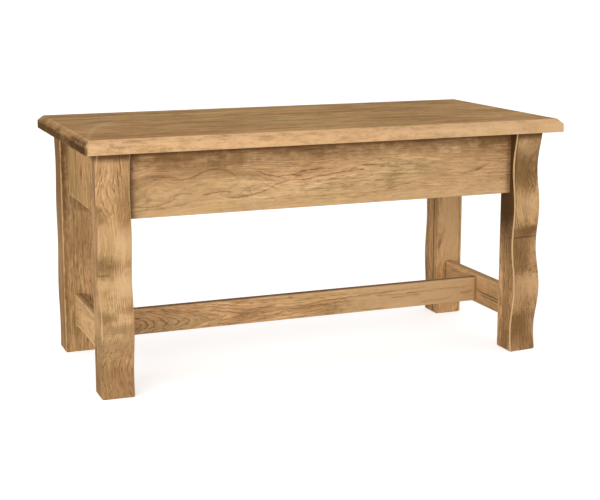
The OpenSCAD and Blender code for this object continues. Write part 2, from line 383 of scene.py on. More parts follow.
def growth_rings_group():
    """Thin broken ring lines round a pith on the X axis, bent as they wander."""
    w, given, result = new_group(
        "Growth Rings",
        {"Vector": VECTOR, "Ring Width": 0.009, "Wander": 0.02, "Swirl": 0.3, "Lift": 0.0},
        {"Lines": FLOAT, "Band": FLOAT, "Tone": FLOAT, "Flow": VECTOR},
    )
    vector, width, wander, lift = (
        given[label] for label in ("Vector", "Ring Width", "Wander", "Lift")
    )
    loose = w.vector("MULTIPLY", vector, w.combined(given["Swirl"], 1.0, 1.0))
    drift = w.multiply(w.stray(loose, 9.0, 2.0, 0.45), w.multiply(wander, 4.0))
    drift = w.multiply_add(w.stray(loose, 30.0), w.multiply(wander, 0.6), drift)
    quiver = w.multiply(w.stray(loose, 70.0, 3.0), width)
    across = w.vector("MULTIPLY", vector, (0.0, 1.0, 1.0))
    reach = w.vector("LENGTH", across)
    field = w.add(w.add(reach, w.add(drift, lift)), quiver)
    field = w.divide(field, width)
    own = w.own_chance(w.maths("FLOOR", field))["Value"]
    place = w.maths("FRACT", field)
    thin = w.subtract(w.step(place, 0.66, 0.86), w.step(place, 0.92, 1.0))
    strength = w.multiply_add(own, 0.75, 0.25)
    dashes = w.vector("MULTIPLY", vector, (12.0, 48.0, 48.0))
    broken = w.step(w.noise(dashes, 1.0, 4.0, 0.62), 0.44, 0.62)
    lines = w.multiply(thin, strength)
    w.feed(result["Lines"], w.multiply(lines, w.multiply_add(broken, 0.9, 0.1)))
    w.feed(result["Band"], w.subtract(w.step(place, 0.05, 0.9), w.step(place, 0.93, 1.0)))
    w.feed(result["Tone"], own)
    follow = w.multiply_add(lift, 0.5, drift)
    push = w.scaled(across, w.divide(follow, reach))
    w.feed(result["Flow"], w.vector("ADD", vector, push))
    return w.tree


def fibres_group():
    """Fine fibres, longer streaks, hairline cracks, pores and slow clouds along X."""
    w, given, result = new_group(
        "Fibres",
        {"Vector": VECTOR},
        {"Fibre": FLOAT, "Streak": FLOAT, "Cracks": FLOAT, "Pores": FLOAT, "Cloud": FLOAT},
    )

    def stretched(along, across, detail, roughness, distortion=0.0):
        drawn = w.vector("MULTIPLY", given["Vector"], (along, across, across))
        return w.noise(drawn, 1.0, detail, roughness, distortion)

    coarse = w.multiply(stretched(24.0, 190.0, 2.0, 0.6), 0.36)
    w.feed(result["Fibre"], w.multiply_add(stretched(42.0, 440.0, 2.0, 0.6), 0.64, coarse))
    w.feed(result["Streak"], stretched(2.6, 48.0, 5.0, 0.7, 0.3))
    hair = w.absolute(w.subtract(stretched(3.6, 58.0, 4.0, 0.6, 0.9), 0.5))
    shown = w.step(stretched(7.0, 26.0, 3.0, 0.6), 0.51, 0.62)
    w.feed(result["Cracks"], w.multiply(w.step(hair, 0.016, 0.001), shown))
    w.feed(result["Pores"], w.step(stretched(62.0, 460.0, 1.0, 0.5), 0.62, 0.7))
    w.feed(result["Cloud"], stretched(5.0, 13.0, 3.0, 0.58, 0.6))
    return w.tree


def stained_wood_group(rings, fibres):
    """Colour, roughness and relief of one board of stained wood."""
    w, given, result = new_group(
        "Stained Wood",
        {
            "Vector": VECTOR,
            "Ring Width": 0.009,
            "Wander": 0.02,
            "Swirl": 0.3,
            "Lift": 0.0,
            "Ring Strength": 0.7,
            "Streak Strength": 0.6,
            "Cloud Strength": 0.5,
            "Crack Strength": 0.6,
            "Fleck Strength": 0.5,
            "Fibre Strength": 0.6,
            "Light": (0.6, 0.4, 0.2, 1.0),
            "Body": (0.5, 0.3, 0.15, 1.0),
            "Dark": (0.2, 0.1, 0.04, 1.0),
            "Line": (0.1, 0.05, 0.02, 1.0),
        },
        {"Color": COLOUR, "Roughness": FLOAT, "Height": FLOAT},
    )
    ring = w.effect(
        rings,
        vector=given["Vector"],
        ring_width=given["Ring Width"],
        wander=given["Wander"],
        swirl=given["Swirl"],
        lift=given["Lift"],
    )
    fibre = w.effect(fibres, vector=ring["Flow"])
    light, body, dark = given["Light"], given["Body"], given["Dark"]

    def amount(mask, strength, share=1.0):
        return w.multiply(w.multiply(mask, given[f"{strength} Strength"]), share)

    colour = w.tint(amount(w.step(fibre["Streak"], 0.46, 0.72), "Streak"), body, light)
    colour = w.tint(amount(w.step(fibre["Streak"], 0.5, 0.28), "Streak", 0.6), colour, dark)
    colour = w.tint(amount(w.step(fibre["Cloud"], 0.54, 0.34), "Cloud", 0.6), colour, dark)
    colour = w.tint(amount(w.step(fibre["Cloud"], 0.5, 0.68), "Cloud", 0.8), colour, light)
    warmth = w.noise(w.vector("MULTIPLY", given["Vector"], (3.0, 16.0, 16.0)), 1.0)
    cool_hue, warm_hue = (0.97, 1.0, 0.98, 1.0), (1.035, 0.99, 1.0, 1.0)
    hue = w.tint(w.step(warmth, 0.38, 0.62), cool_hue, warm_hue)
    colour = w.tint(1.0, colour, hue, "MULTIPLY")
    colour = w.tint(amount(ring["Band"], "Ring", 0.2), colour, dark)
    tone = amount(w.subtract(ring["Tone"], 0.5), "Ring", 0.26)
    fine = amount(w.subtract(fibre["Fibre"], 0.5), "Fibre", 3.4)
    colour = w.dimmed(colour, w.add(w.add(tone, fine), 1.0))
    line = amount(ring["Lines"], "Ring")
    marks = (line, amount(fibre["Cracks"], "Crack"), amount(fibre["Pores"], "Fleck"))
    height = w.multiply(fibre["Fibre"], 0.6)
    for mark in marks:
        colour = w.tint(mark, colour, given["Line"])
        height = w.multiply_add(mark, -0.4, height)
    w.feed(result["Color"], colour)
    rough = w.multiply_add(fibre["Fibre"], 0.24, 0.54)
    w.feed(result["Roughness"], w.multiply_add(line, 0.15, rough))
    w.feed(result["Height"], height)
    return w.tree


def distance(w, given):
    """Distance from the centre, in sizes."""
    gap = w.vector("SUBTRACT", given["Position"], given["Centre"])
    return w.vector("LENGTH", w.vector("DIVIDE", gap, given["Size"]))


def knot_group():
    """A place that the rings flow round, with a dark heart."""
    w, given, result = new_group(
        "Knot", {**PLACED, "Height": 0.02}, {"Lift": FLOAT, "Heart": FLOAT}
    )
    gap = w.multiply_add(w.stray(given["Position"], 60.0), 0.15, distance(w, given))
    swell = w.maths("EXPONENT", w.multiply(w.maths("POWER", gap, 2.0), -1.0))
    w.feed(result["Lift"], w.multiply(swell, given["Height"]))
    w.feed(result["Heart"], w.step(gap, 0.22, 0.05))
    return w.tree


def patch_group():
    """A soft-edged patch, band or streak round a centre."""
    w, given, result = new_group("Patch", {**PLACED, "Ragged": 0.5}, {"Mask": FLOAT})
    edge = w.stray(given["Position"], 75.0, 3.0, 0.6)
    gap = w.add(distance(w, given), w.multiply(edge, given["Ragged"]))
    w.feed(result["Mask"], w.step(gap, 1.1, 0.2))
    return w.tree


def grain_line_group():
    """A line that runs along X, bends up or down and fades at its ends."""
    w, given, result = new_group(
        "Grain Line",
        {
            "Position": VECTOR,
            "Centre": (0.0, 0.0, 0.0),
            "Reach": 0.03,
            "Rise": 0.0,
            "Bend": 0.0,
            "Width": 0.0012,
        },
        {"Mask": FLOAT},
    )
    position, width = given["Position"], given["Width"]
    x, y, z = w.split(w.vector("SUBTRACT", position, given["Centre"]))
    run = w.divide(x, given["Reach"])
    path = w.multiply(w.multiply_add(run, given["Bend"], given["Rise"]), run)
    path = w.multiply_add(w.stray(position, 70.0, 4.0, 0.75), 0.009, path)
    off = w.absolute(w.subtract(z, path))
    girth = w.multiply_add(w.noise(position, 90.0, 3.0, 0.7), 2.6, -0.45)
    girth = w.larger(w.multiply(girth, width), 0.0002)
    body = w.step(w.divide(off, girth), 1.0, 0.1)
    halo = w.step(w.divide(off, width), 3.5, 0.0, 0.0, 0.3)
    ends = w.step(w.absolute(run), 1.1, 0.75)
    w.feed(result["Mask"], w.multiply(w.larger(body, halo), ends))
    return w.tree


def edge_wear_and_highlight_group():
    """A line of wear and painted highlight along the edges of a block that may be chamfered on
    top.
    """
    w, given, result = new_group(
        "Edge Wear",
        {
            "Position": VECTOR,
            "Centre": (0.0, 0.0, 0.0),
            "Half Size": (0.1, 0.1, 0.1),
            "Chamfer": 0.0,
            "Width": 0.003,
            "Ragged": 1.0,
        },
        {"Mask": FLOAT},
    )
    place = w.vector("SUBTRACT", given["Position"], given["Centre"])
    room = w.vector("SUBTRACT", given["Half Size"], w.vector("ABSOLUTE", place))
    x, y, z = w.split(room)
    top = w.subtract(w.split(given["Half Size"])[2], w.split(place)[2])
    half_root = 0.7071
    slants = [
        w.multiply(w.subtract(w.add(side, top), given["Chamfer"]), half_root) for side in (x, y)
    ]
    nearest, second = x, 1.0
    for other in (y, z, *slants):
        second = w.smaller(second, w.larger(nearest, other))
        nearest = w.smaller(nearest, other)
    rag = w.stray(given["Position"], 38.0, 4.0, 0.7)
    rag = w.multiply(rag, w.multiply(given["Ragged"], 5.0))
    part = w.add(w.divide(second, given["Width"]), rag)
    w.feed(result["Mask"], w.step(part, 1.0, 0.3))
    return w.tree


# Sizes of the wave, by the names that they have in the post's settings
WAVE_SIZES = {
    "crest_height": 0.126,
    "ripple_pitch": 0.160,
    "ripple_depth": 0.010,
    "sway_pitch": 0.366,
    "sway_depth": 0.006,
}
WAVE_INPUTS = {label(name): size for name, size in WAVE_SIZES.items()}


def wave_dips(w, height, given):
    """How deep the ripple and the sway are cut at a height."""
    above = w.subtract(height, given["Crest Height"])
    dips = []
    for part in ("Ripple", "Sway"):
        turn = w.multiply(w.divide(above, given[f"{part} Pitch"]), 2 * pi)
        dip = w.subtract(1.0, w.maths("COSINE", turn))
        dips.append(w.multiply(dip, w.multiply(given[f"{part} Depth"], 0.5)))
    return dips


def sawn_wave_group():
    """Troughs and crests of a post's sawn wave, and the place on the uncut blank."""
    w, given, result = new_group(
        "Sawn Wave",
        {"Position": VECTOR, "Outer Face": 0.19, "Depth": 0.06, **WAVE_INPUTS},
        {"Blank": VECTOR, "Trough": FLOAT, "Crest": FLOAT},
    )
    depth = given["Depth"]
    x, y, z = w.split(given["Position"])
    ripple, sway = wave_dips(w, z, given)
    room = w.subtract(depth, w.add(ripple, sway))
    inner = w.subtract(given["Outer Face"], depth)
    part = w.divide(w.subtract(w.absolute(y), inner), room)
    blank = w.multiply(w.multiply_add(part, depth, inner), w.maths("SIGN", y))
    w.feed(result["Blank"], w.combined(x, blank, z))
    outer = w.step(part, 0.82, 0.97)
    low = w.divide(ripple, given["Ripple Depth"])
    low = w.add(low, w.multiply(w.stray(given["Position"], 24.0, 3.0), 1.2))
    w.feed(result["Trough"], w.multiply(w.step(low, 0.25, 1.0), outer))
    w.feed(result["Crest"], w.multiply(w.step(low, 0.5, -0.1), outer))
    return w.tree


def laminations_group():
    """Boards that a post is glued up from, counted from its wavy face inward."""
    w, given, result = new_group(
        "Laminations",
        {
            "Position": VECTOR,
            "Outer Face": 0.19,
            "Board": 0.021,
            "Seed": 0.0,
            "Tones": (0.0, 0.0, 0.0),
        },
        {"Shift": VECTOR, "Tone": FLOAT, "Glue Line": FLOAT},
    )
    across = w.absolute(w.split(given["Position"])[1])
    layer = w.divide(w.subtract(given["Outer Face"], across), given["Board"])
    own = w.own_chance(w.add(w.maths("FLOOR", layer), given["Seed"]))
    w.feed(result["Shift"], w.scaled(own["Color"], 0.4))
    outer, middle, inner = w.split(given["Tones"])
    second = w.maths("GREATER_THAN", layer, 1.0)
    third = w.maths("GREATER_THAN", layer, 2.0)
    tone = w.multiply_add(second, w.subtract(middle, outer), outer)
    w.feed(result["Tone"], w.multiply_add(third, w.subtract(inner, middle), tone))
    near = w.maths("PINGPONG", w.maths("FRACT", layer), 0.5)
    w.feed(result["Glue Line"], w.step(near, 0.045, 0.0))
    return w.tree


def saw_marks_group():
    """Ripples left across the grain by the saw and the sander."""
    w, given, result = new_group(
        "Saw Marks", {"Position": VECTOR, "Pitch": 0.004}, {"Height": FLOAT}
    )
    sway = w.multiply(w.noise(given["Position"], 22.0, 2.0), 0.02)
    along = w.add(w.split(given["Position"])[2], sway)
    share_of_turn = 0.159
    band = w.maths("SINE", w.divide(along, w.multiply(given["Pitch"], share_of_turn)))
    worn = w.step(w.noise(given["Position"], 30.0, 3.0), 0.4, 0.65)
    w.feed(result["Height"], w.multiply(band, worn))
    return w.tree


class Effects:
    """The shared shader groups."""

    def __init__(self):
        self.wood = stained_wood_group(growth_rings_group(), fibres_group())
        self.knot = knot_group()
        self.patch = patch_group()
        self.line = grain_line_group()
        self.wear = edge_wear_and_highlight_group()
        self.wave = sawn_wave_group()
        self.laminations = laminations_group()
        self.saw = saw_marks_group()


@cache
def effects():
    """The shared shader groups, made the first time that they are asked for."""
    return Effects()


# Materials

# What a piece has where its own look doesn't say otherwise
PLAIN_WOOD = dict(
    ring_width=0.009, wander=0.02, swirl=0.3, rings=0.75, streaks=0.55, clouds=0.4, cracks=0.55,
    flecks=0.45, fibres=0.6, end_grain=0.6, chamfer=0.0, wear=0.5, wear_width=0.003,
    wear_ragged=0.6, relief=0.6, gloss=0.02, knots=[], patches=[], lines=[], lines_on="front",
    line_width=0.0012,
)

# The amounts of figure in a look, each of which is a strength of the wood effect
FIGURE = ("rings", "streaks", "clouds", "cracks", "flecks", "fibres")

# How dark a glue line is, how far apart the saw's marks are and how deep the relief is
GLUE_DARKNESS = 0.6
SAW_PITCH = 0.005
RELIEF_DEPTH = 0.0008


def wood_figure(w, place, grain, look, shades):
    """The plain wood of a board, and the dark hearts of its knots."""
    fx = effects()
    turn = GRAIN_TURNS[look["grain"]]
    rotation = Matrix.Rotation(turn[2], 3, "Z") @ Matrix.Rotation(turn[1], 3, "Y")
    pith = rotation @ Vector(look["pith"])
    board = w.made("ShaderNodeMapping", {"Vector": grain, "Rotation": turn, "Location": -pith})
    lift, hearts = 0.0, []
    for centre, size, height, heart in look["knots"]:
        knot = w.effect(fx.knot, position=place, centre=centre, size=size, height=height)
        lift = w.add(lift, knot["Lift"])
        hearts.append(w.multiply(knot["Heart"], heart))
    wood = w.effect(
        fx.wood,
        vector=board,
        ring_width=look["ring_width"],
        wander=look["wander"],
        swirl=look["swirl"],
        lift=lift,
        line=shades["glaze"],
        **{f"{name[:-1]}_strength": look[name] for name in FIGURE},
        **{name: look.get(name, shades[name]) for name in ("light", "body", "dark")},
    )
    return wood, hearts


def bevelled(w, colour, place, facing, amount, shade):
    """A colour with a blotchy bevel over it, where a face slants to the front or back."""
    across, _, up = w.split(facing)
    slant = w.step(w.absolute(up), 0.93, 0.85, 0.0, amount)
    slant = w.multiply(slant, w.step(w.absolute(across), 0.6, 0.35))
    drawn = w.vector("MULTIPLY", place, (0.35, 1.0, 1.0))
    blotch = w.step(w.noise(drawn, 95.0, 5.0, 0.8), 0.36, 0.62, 0.2, 0.88)
    return w.tint(slant, colour, w.tint(blotch, colour, shade))


def with_marks(w, colour, place, look, shades):
    """A colour with the look's patches and then its grain lines over it."""
    fx = effects()
    for centre, size, shade, amount, ragged in look["patches"]:
        patch = w.effect(fx.patch, position=place, centre=centre, size=size, ragged=ragged)
        colour = w.marked(colour, shades[shade], patch["Mask"], amount)
    if look["lines_on"] == "top":
        x, y, z = w.split(place)
        place = w.combined(x, z, y)
    for x, across, reach, rise, bend, shade, amount, *width in look["lines"]:
        line = w.effect(
            fx.line,
            position=place,
            centre=(x, look["line_face"], across),
            reach=reach,
            rise=rise,
            bend=bend,
            width=width[0] if width else look["line_width"],
        )
        colour = w.marked(colour, shades[shade], line["Mask"], amount)
    return colour


def wood_material(name, low, high, look):
    """Stained wood for one piece; look holds what sets its board apart."""
    settings = bpy.context.scene.bench
    shades = values_of(settings.finish)
    look = {**PLAIN_WOOD, **look}
    fx = effects()
    material = bpy.data.materials.new(name)
    w = cleared(material)
    place = w.made("ShaderNodeTexCoord", output="Object")
    facing = w.made("ShaderNodeNewGeometry", output="Normal")
    solid = grain = place
    if "wave" in look:
        outer_face = max(abs(low.y), abs(high.y))
        sizes = {size: getattr(settings.post, size) for size in WAVE_SIZES}
        wave = w.effect(
            fx.wave, position=place, outer_face=outer_face, depth=high.y - low.y, **sizes
        )
        solid = wave["Blank"]
        board, seed, tones = look["layers"]
        layers = w.effect(
            fx.laminations,
            position=place,
            outer_face=outer_face,
            board=board,
            seed=seed,
            tones=tones,
        )
        grain = w.vector("ADD", place, layers["Shift"])
    wood, hearts = wood_figure(w, place, grain, look, shades)
    colour, height = wood["Color"], wood["Height"]
    # A look's shade multiplies the whole colour. It is partly the wood's own tone and partly
    # painted light, which makes paler the pieces that the lamps reach less, the back posts and
    # the stretchers most.
    if "shade" in look:
        level = look["shade"]
        colour = w.tint(1.0, colour, (level, level, level, 1.0), "MULTIPLY")
    if "bevel" in look:
        colour = bevelled(w, colour, place, facing, look["bevel"], shades["bevel"])
    if "wave" in look:
        dull, bright = look["wave"]
        colour = w.dimmed(colour, w.add(layers["Tone"], 1.0))
        colour = w.marked(colour, shades["glaze"], layers["Glue Line"], GLUE_DARKNESS)
        colour = w.marked(colour, shades["dark"], wave["Trough"], dull)
        colour = w.marked(colour, shades["light"], wave["Crest"], bright)
        saw = w.effect(fx.saw, position=place, pitch=SAW_PITCH)
        height = w.multiply_add(saw["Height"], 0.5, height)
    for heart in hearts:
        colour = w.tint(heart, colour, shades["glaze"])
    colour = with_marks(w, colour, place, look, shades)
    endwise = w.absolute(w.vector("DOT_PRODUCT", facing, GRAIN_AXES[look["grain"]]))
    speck = w.multiply_add(w.noise(place, 170.0, 4.0, 0.75), 2.2, -0.2)
    cut = w.multiply(w.step(endwise, 0.62, 0.9, 0.0, look["end_grain"]), speck, clamp=True)
    colour = w.tint(cut, colour, shades["glaze"])
    # Pale edges: partly wear, partly painted highlight along the arrises.
    wear = w.effect(
        fx.wear,
        position=solid,
        centre=(low + high) / 2,
        half_size=(high - low) / 2,
        chamfer=look["chamfer"],
        width=look["wear_width"],
        ragged=look["wear_ragged"],
    )
    colour = w.marked(colour, shades["worn"], wear["Mask"], look["wear"])
    rough = w.multiply_add(cut, 0.25, wood["Roughness"])
    shader = relief_shader(w, colour, rough, height, look["relief"], RELIEF_DEPTH)
    shader.inputs["Specular IOR Level"].default_value = look["gloss"]
    w.surface(shader)
    return material


def relief_shader(w, colour, rough, height, strength, depth):
    """A shader whose surface rises and falls with the height."""
    bump = w.made("ShaderNodeBump", {"Strength": strength, "Distance": depth, "Height": height})
    return w.put(
        "ShaderNodeBsdfPrincipled", {"Base Color": colour, "Roughness": rough, "Normal": bump}
    )


def steel_material():
    """Dull zinc-plated steel, mottled at random between bright and dull."""
    material = bpy.data.materials.new("Zinc Plated Steel")
    w = cleared(material)
    place = w.made("ShaderNodeTexCoord", output="Object")
    cloud = w.noise(place, 900.0, 3.0, 0.6)
    brushed = w.noise(w.vector("MULTIPLY", place, (2500.0, 2500.0, 900.0)), 1.0)
    steel, dull_steel = bpy.context.scene.bench.finish.steel, stain(120, 116, 104)
    colour = w.tint(w.step(cloud, 0.35, 0.65, 0.0, 0.5), steel, dull_steel)
    rough = w.multiply_add(cloud, 0.3, 0.28)
    shader = relief_shader(w, colour, rough, brushed, 0.25, 0.0001)
    shader.inputs["Metallic"].default_value = 1.0
    w.surface(shader)
    return material


# Mesh making


def new_object(name, data):
    thing = bpy.data.objects.new(name, data)
    bpy.context.scene.collection.objects.link(thing)
    return thing


def plain_mesh(name, mesh):
    """The mesh data that a bmesh holds, which is then done with."""
    data = bpy.data.meshes.new(name)
    mesh.to_mesh(data)
    mesh.free()
    return data


def joined_copy(node):
    """A node's mesh with its loose triangles joined up."""
    mesh = bmesh.new()
    mesh.from_mesh(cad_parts[node].data)
    bmesh.ops.remove_doubles(mesh, verts=mesh.verts, dist=SAME)
    return mesh


def arrised_copy(node, radius, segments, wanted=None):
    """A copy of a node with its outer edges, or those that are wanted, rounded."""
    mesh = joined_copy(node)
    bmesh.ops.dissolve_limit(mesh, angle_limit=FLAT_TURN, verts=mesh.verts, edges=mesh.edges)
    edges = [
        edge
        for edge in mesh.edges
        if len(edge.link_faces) == 2
        and edge.calc_length() > SHORT_EDGE
        and edge.is_convex
        and edge.calc_face_angle() > ROUNDED_TURN
        and (wanted is None or wanted(edge.verts[0].co, edge.verts[1].co))
    ]
    bmesh.ops.bevel(
        mesh,
        geom=edges,
        offset=radius,
        offset_type="OFFSET",
        segments=segments,
        profile=0.5,
        affect="EDGES",
        clamp_overlap=True,
    )
    bmesh.ops.recalc_face_normals(mesh, faces=mesh.faces)
    return new_object(node.title(), plain_mesh(node.title(), mesh))


def settle(piece, nodes, material):
    """Gives a piece its finish and its place in the frame."""
    piece.data.shade_smooth()
    piece.data.set_sharp_from_angle(angle=SHARP_TURN)
    soften = piece.modifiers.new("Even Faces", "WEIGHTED_NORMAL")
    soften.keep_sharp = True
    bake_modifiers(piece)
    piece.data.materials.clear()
    piece.data.materials.append(material)
    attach(piece, "root")
    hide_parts(*nodes)


def bake_modifiers(piece):
    """Turns what the modifiers make into the piece's own plain mesh."""
    bpy.context.view_layer.update()
    shaped = piece.evaluated_get(bpy.context.evaluated_depsgraph_get())
    mesh = bpy.data.meshes.new_from_object(shaped)
    mesh.name = piece.name
    piece.modifiers.clear()
    piece.data = mesh


def add_tree(host, tree, **values):
    """Adds a geometry node tree to an object and sets its named inputs."""
    modifier = host.modifiers.new(tree.name, "NODES")
    modifier.node_group = tree
    inputs = {
        item.name: item.identifier
        for item in tree.interface.items_tree
        if item.item_type == "SOCKET" and item.in_out == "INPUT"
    }
    for name, value in values.items():
        modifier[inputs[label(name)]] = value


def box_mesh(name, boxes):
    """Closed blocks, each given by its low and high corners, as one mesh."""
    mesh = bmesh.new()
    for low, high in boxes:
        matrix = Matrix.Translation((low + high) / 2) @ Matrix.Diagonal((*(high - low), 1))
        bmesh.ops.create_cube(mesh, size=1, matrix=matrix)
    return plain_mesh(name, mesh)


# Geometry nodes


def end_tree(w, result, geometry, material):
    """Turns copies into mesh of their own, sets the material and closes the tree."""
    real = w.made("GeometryNodeRealizeInstances", {"Geometry": geometry})
    done = w.made("GeometryNodeSetMaterial", {"Geometry": real, "Material": material})
    w.feed(result["Geometry"], done)


def upright(w, height, count):
    """A straight line up from the origin, in equal parts."""
    line = w.made("GeometryNodeCurvePrimitiveLine", {"End": w.combined(0.0, 0.0, height)})
    return w.made("GeometryNodeResampleCurve", {"Curve": line, "Count": count})


def swept(w, path, section, **more):
    """A closed skin of one section along a path."""
    inputs = {"Curve": path, "Profile Curve": section, "Fill Caps": True, **more}
    return w.made("GeometryNodeCurveToMesh", inputs)


def carved(w, body, tool, **settings):
    """A body less what the tool takes out of it."""
    inputs = {"Mesh 1": body, "Mesh 2": tool}
    return w.put(
        "GeometryNodeMeshBoolean", inputs, operation="DIFFERENCE", solver="EXACT", **settings
    )


def wavy_post_tree():
    """A post: a rounded section swept upward, its outer face drawn in by the wave."""
    w, given, result = new_group(
        "Wavy Post",
        {
            "Geometry": GEOMETRY,
            "Width": 0.058,
            "Depth": 0.060,
            "Height": 0.432,
            **WAVE_INPUTS,
            "Skew": 0.0,
            "Lean": 0.0,
            "Arris": 0.002,
            "Foot Chamfer": 0.002,
            "Unevenness": 0.0005,
            "Rings": 217,
            "Place": (0.0, 0.0, 0.0),
            "Turn": (0.0, 0.0, 0.0),
            "Mortises": OBJECT,
            "Material": MATERIAL,
        },
        {"Geometry": GEOMETRY},
        "GeometryNodeTree",
    )
    width, depth = given["Width"], given["Depth"]
    section = w.made(
        "GeometryNodeCurvePrimitiveQuadrilateral", {"Width": width, "Height": depth}
    )
    section = w.made(
        "GeometryNodeFilletCurve",
        {"Curve": section, "Count": 4, "Radius": given["Arris"]},
        mode="POLY",
    )
    blank = swept(w, upright(w, given["Height"], given["Rings"]), section)

    here = w.made("GeometryNodeInputPosition")
    x, y, z = w.split(here)
    ripple, sway = wave_dips(w, z, given)
    dips = w.noise(w.vector("ADD", here, given["Place"]), 34.0)
    drop = w.multiply_add(dips, given["Unevenness"], w.add(ripple, sway))
    side = w.divide(x, w.multiply(width, 0.5))
    drop = w.multiply(drop, w.multiply_add(side, given["Skew"], 1.0))
    drop = w.add(drop, w.multiply(w.multiply_add(side, 0.5, 0.5), given["Lean"]))
    outer = w.subtract(0.5, w.divide(y, depth))
    drawn = w.multiply_add(drop, outer, y)
    nip = w.larger(w.subtract(given["Foot Chamfer"], z), 0.0)
    nip_x = w.subtract(1.0, w.divide(nip, w.multiply(width, 0.5)))
    nip_y = w.subtract(1.0, w.divide(nip, w.multiply(depth, 0.5)))
    moved = w.combined(w.multiply(x, nip_x), w.multiply(drawn, nip_y), z)
    post = w.made("GeometryNodeSetPosition", {"Geometry": blank, "Position": moved})
    post = w.made(
        "GeometryNodeTransform",
        {"Geometry": post, "Translation": given["Place"], "Rotation": given["Turn"]},
    )
    holes = w.made("GeometryNodeObjectInfo", {"Object": given["Mortises"]}, "Geometry")
    end_tree(w, result, carved(w, post, holes).outputs["Mesh"], given["Material"])
    return w.tree


def wood_screw_tree():
    """One countersunk screw: its head's face at the origin, its point along +Z."""
    w, given, result = new_group(
        "Wood Screw",
        {
            "Geometry": GEOMETRY,
            "Length": 0.035,
            "Head": 0.0086,
            "Shank": 0.0044,
            "Core": 0.003,
            "Tip": 0.005,
            "Pitch": 0.0018,
            "Recess Span": 0.0044,
            "Recess Width": 0.001,
            "Recess Depth": 0.0016,
            "Sections": 60,
            "Sides": 20,
            "Material": MATERIAL,
        },
        {"Geometry": GEOMETRY},
        "GeometryNodeTree",
    )
    length, shank = given["Length"], given["Shank"]
    core = w.multiply(given["Core"], 0.5)

    def taper(along, least):
        """How much of the girth is left at a place along the point."""
        left = w.divide(w.subtract(length, along), given["Tip"])
        return w.smaller(w.larger(left, least), 1.0)

    x, y, z = w.split(w.made("GeometryNodeInputPosition"))
    plain = w.multiply(length, 0.3)
    thread_start = w.add(plain, 0.001)
    cone = w.subtract(w.multiply(given["Head"], 0.5), z)
    body = w.made(
        "ShaderNodeMapRange",
        {
            "Value": z,
            "From Min": plain,
            "From Max": thread_start,
            "To Min": w.multiply(shank, 0.48),
            "To Max": core,
        },
    )
    radius = w.larger(cone, w.multiply(body, taper(z, 0.02)))
    circle = w.made(
        "GeometryNodeCurvePrimitiveCircle", {"Resolution": given["Sides"], "Radius": 1.0}
    )
    shaft = swept(w, upright(w, length, given["Sections"]), circle, Scale=radius)
    slot_size = w.combined(
        given["Recess Span"], given["Recess Width"], w.multiply(given["Recess Depth"], 2.0)
    )
    slots = w.put("GeometryNodeJoinGeometry")
    for turn in (0.0, pi / 2):
        bar = w.made("GeometryNodeMeshCube", {"Size": slot_size})
        bar = w.made("GeometryNodeTransform", {"Geometry": bar, "Rotation": (0.0, 0.0, turn)})
        w.feed(slots.inputs["Geometry"], bar)
    headed = carved(w, shaft, slots.outputs["Geometry"])
    w.feed(headed.inputs["Self Intersection"], True)

    run = w.subtract(w.subtract(length, thread_start), 0.0006)
    coil = w.made(
        "GeometryNodeCurveSpiral",
        {
            "Resolution": 14,
            "Rotations": w.divide(run, given["Pitch"]),
            "Start Radius": core,
            "End Radius": core,
            "Height": run,
        },
    )
    coil = w.made(
        "GeometryNodeTransform",
        {"Geometry": coil, "Translation": w.combined(0.0, 0.0, thread_start)},
    )
    fade = taper(z, 0.05)
    drawn = w.combined(w.multiply(x, fade), w.multiply(y, fade), z)
    coil = w.made("GeometryNodeSetPosition", {"Geometry": coil, "Position": drawn})
    ridge = w.made("GeometryNodeCurvePrimitiveCircle", {"Resolution": 3, "Radius": 1.0})
    crest = w.multiply(w.subtract(shank, given["Core"]), 0.5)
    thread = swept(w, coil, ridge, Scale=w.multiply(crest, fade))
    whole = w.put("GeometryNodeJoinGeometry")
    w.feed(whole.inputs["Geometry"], headed.outputs["Mesh"])
    w.feed(whole.inputs["Geometry"], thread)
    end_tree(w, result, whole.outputs["Geometry"], given["Material"])
    return w.tree


def set_on_points_tree():
    """Sets a piece on every point, turned by the point's own turn."""
    w, given, result = new_group(
        "Set On Points",
        {"Geometry": GEOMETRY, "Piece": OBJECT, "Material": MATERIAL},
        {"Geometry": GEOMETRY},
        "GeometryNodeTree",
    )
    piece = w.made(
        "GeometryNodeObjectInfo", {"Object": given["Piece"], "As Instance": True}, "Geometry"
    )
    turn = w.made(
        "GeometryNodeInputNamedAttribute", {"Name": "turn"}, data_type="FLOAT_VECTOR"
    )
    copies = w.made(
        "GeometryNodeInstanceOnPoints",
        {
            "Points": given["Geometry"],
            "Instance": piece,
            "Rotation": w.made("FunctionNodeEulerToRotation", {"Euler": turn}),
        },
    )
    end_tree(w, result, copies, given["Material"])
    return w.tree


@cache
def tree(maker):
    """A geometry node tree, made the first time that it is asked for."""
    return maker()


def set_on_points(name, piece, places, material):
    """One object with a copy of a piece at each (place, turn)."""
    points = bpy.data.meshes.new(name)
    points.from_pydata([place for place, _ in places], [], [])
    turns = points.attributes.new("turn", "FLOAT_VECTOR", "POINT")
    for item, (_, turn) in zip(turns.data, places):
        item.vector = turn
    result = new_object(name, points)
    add_tree(result, tree(set_on_points_tree), piece=piece, material=material)
    bake_modifiers(result)
    return result


# Pieces

# How far a mortise's cutter stands out of the post
CUTTER_OVER = 0.002


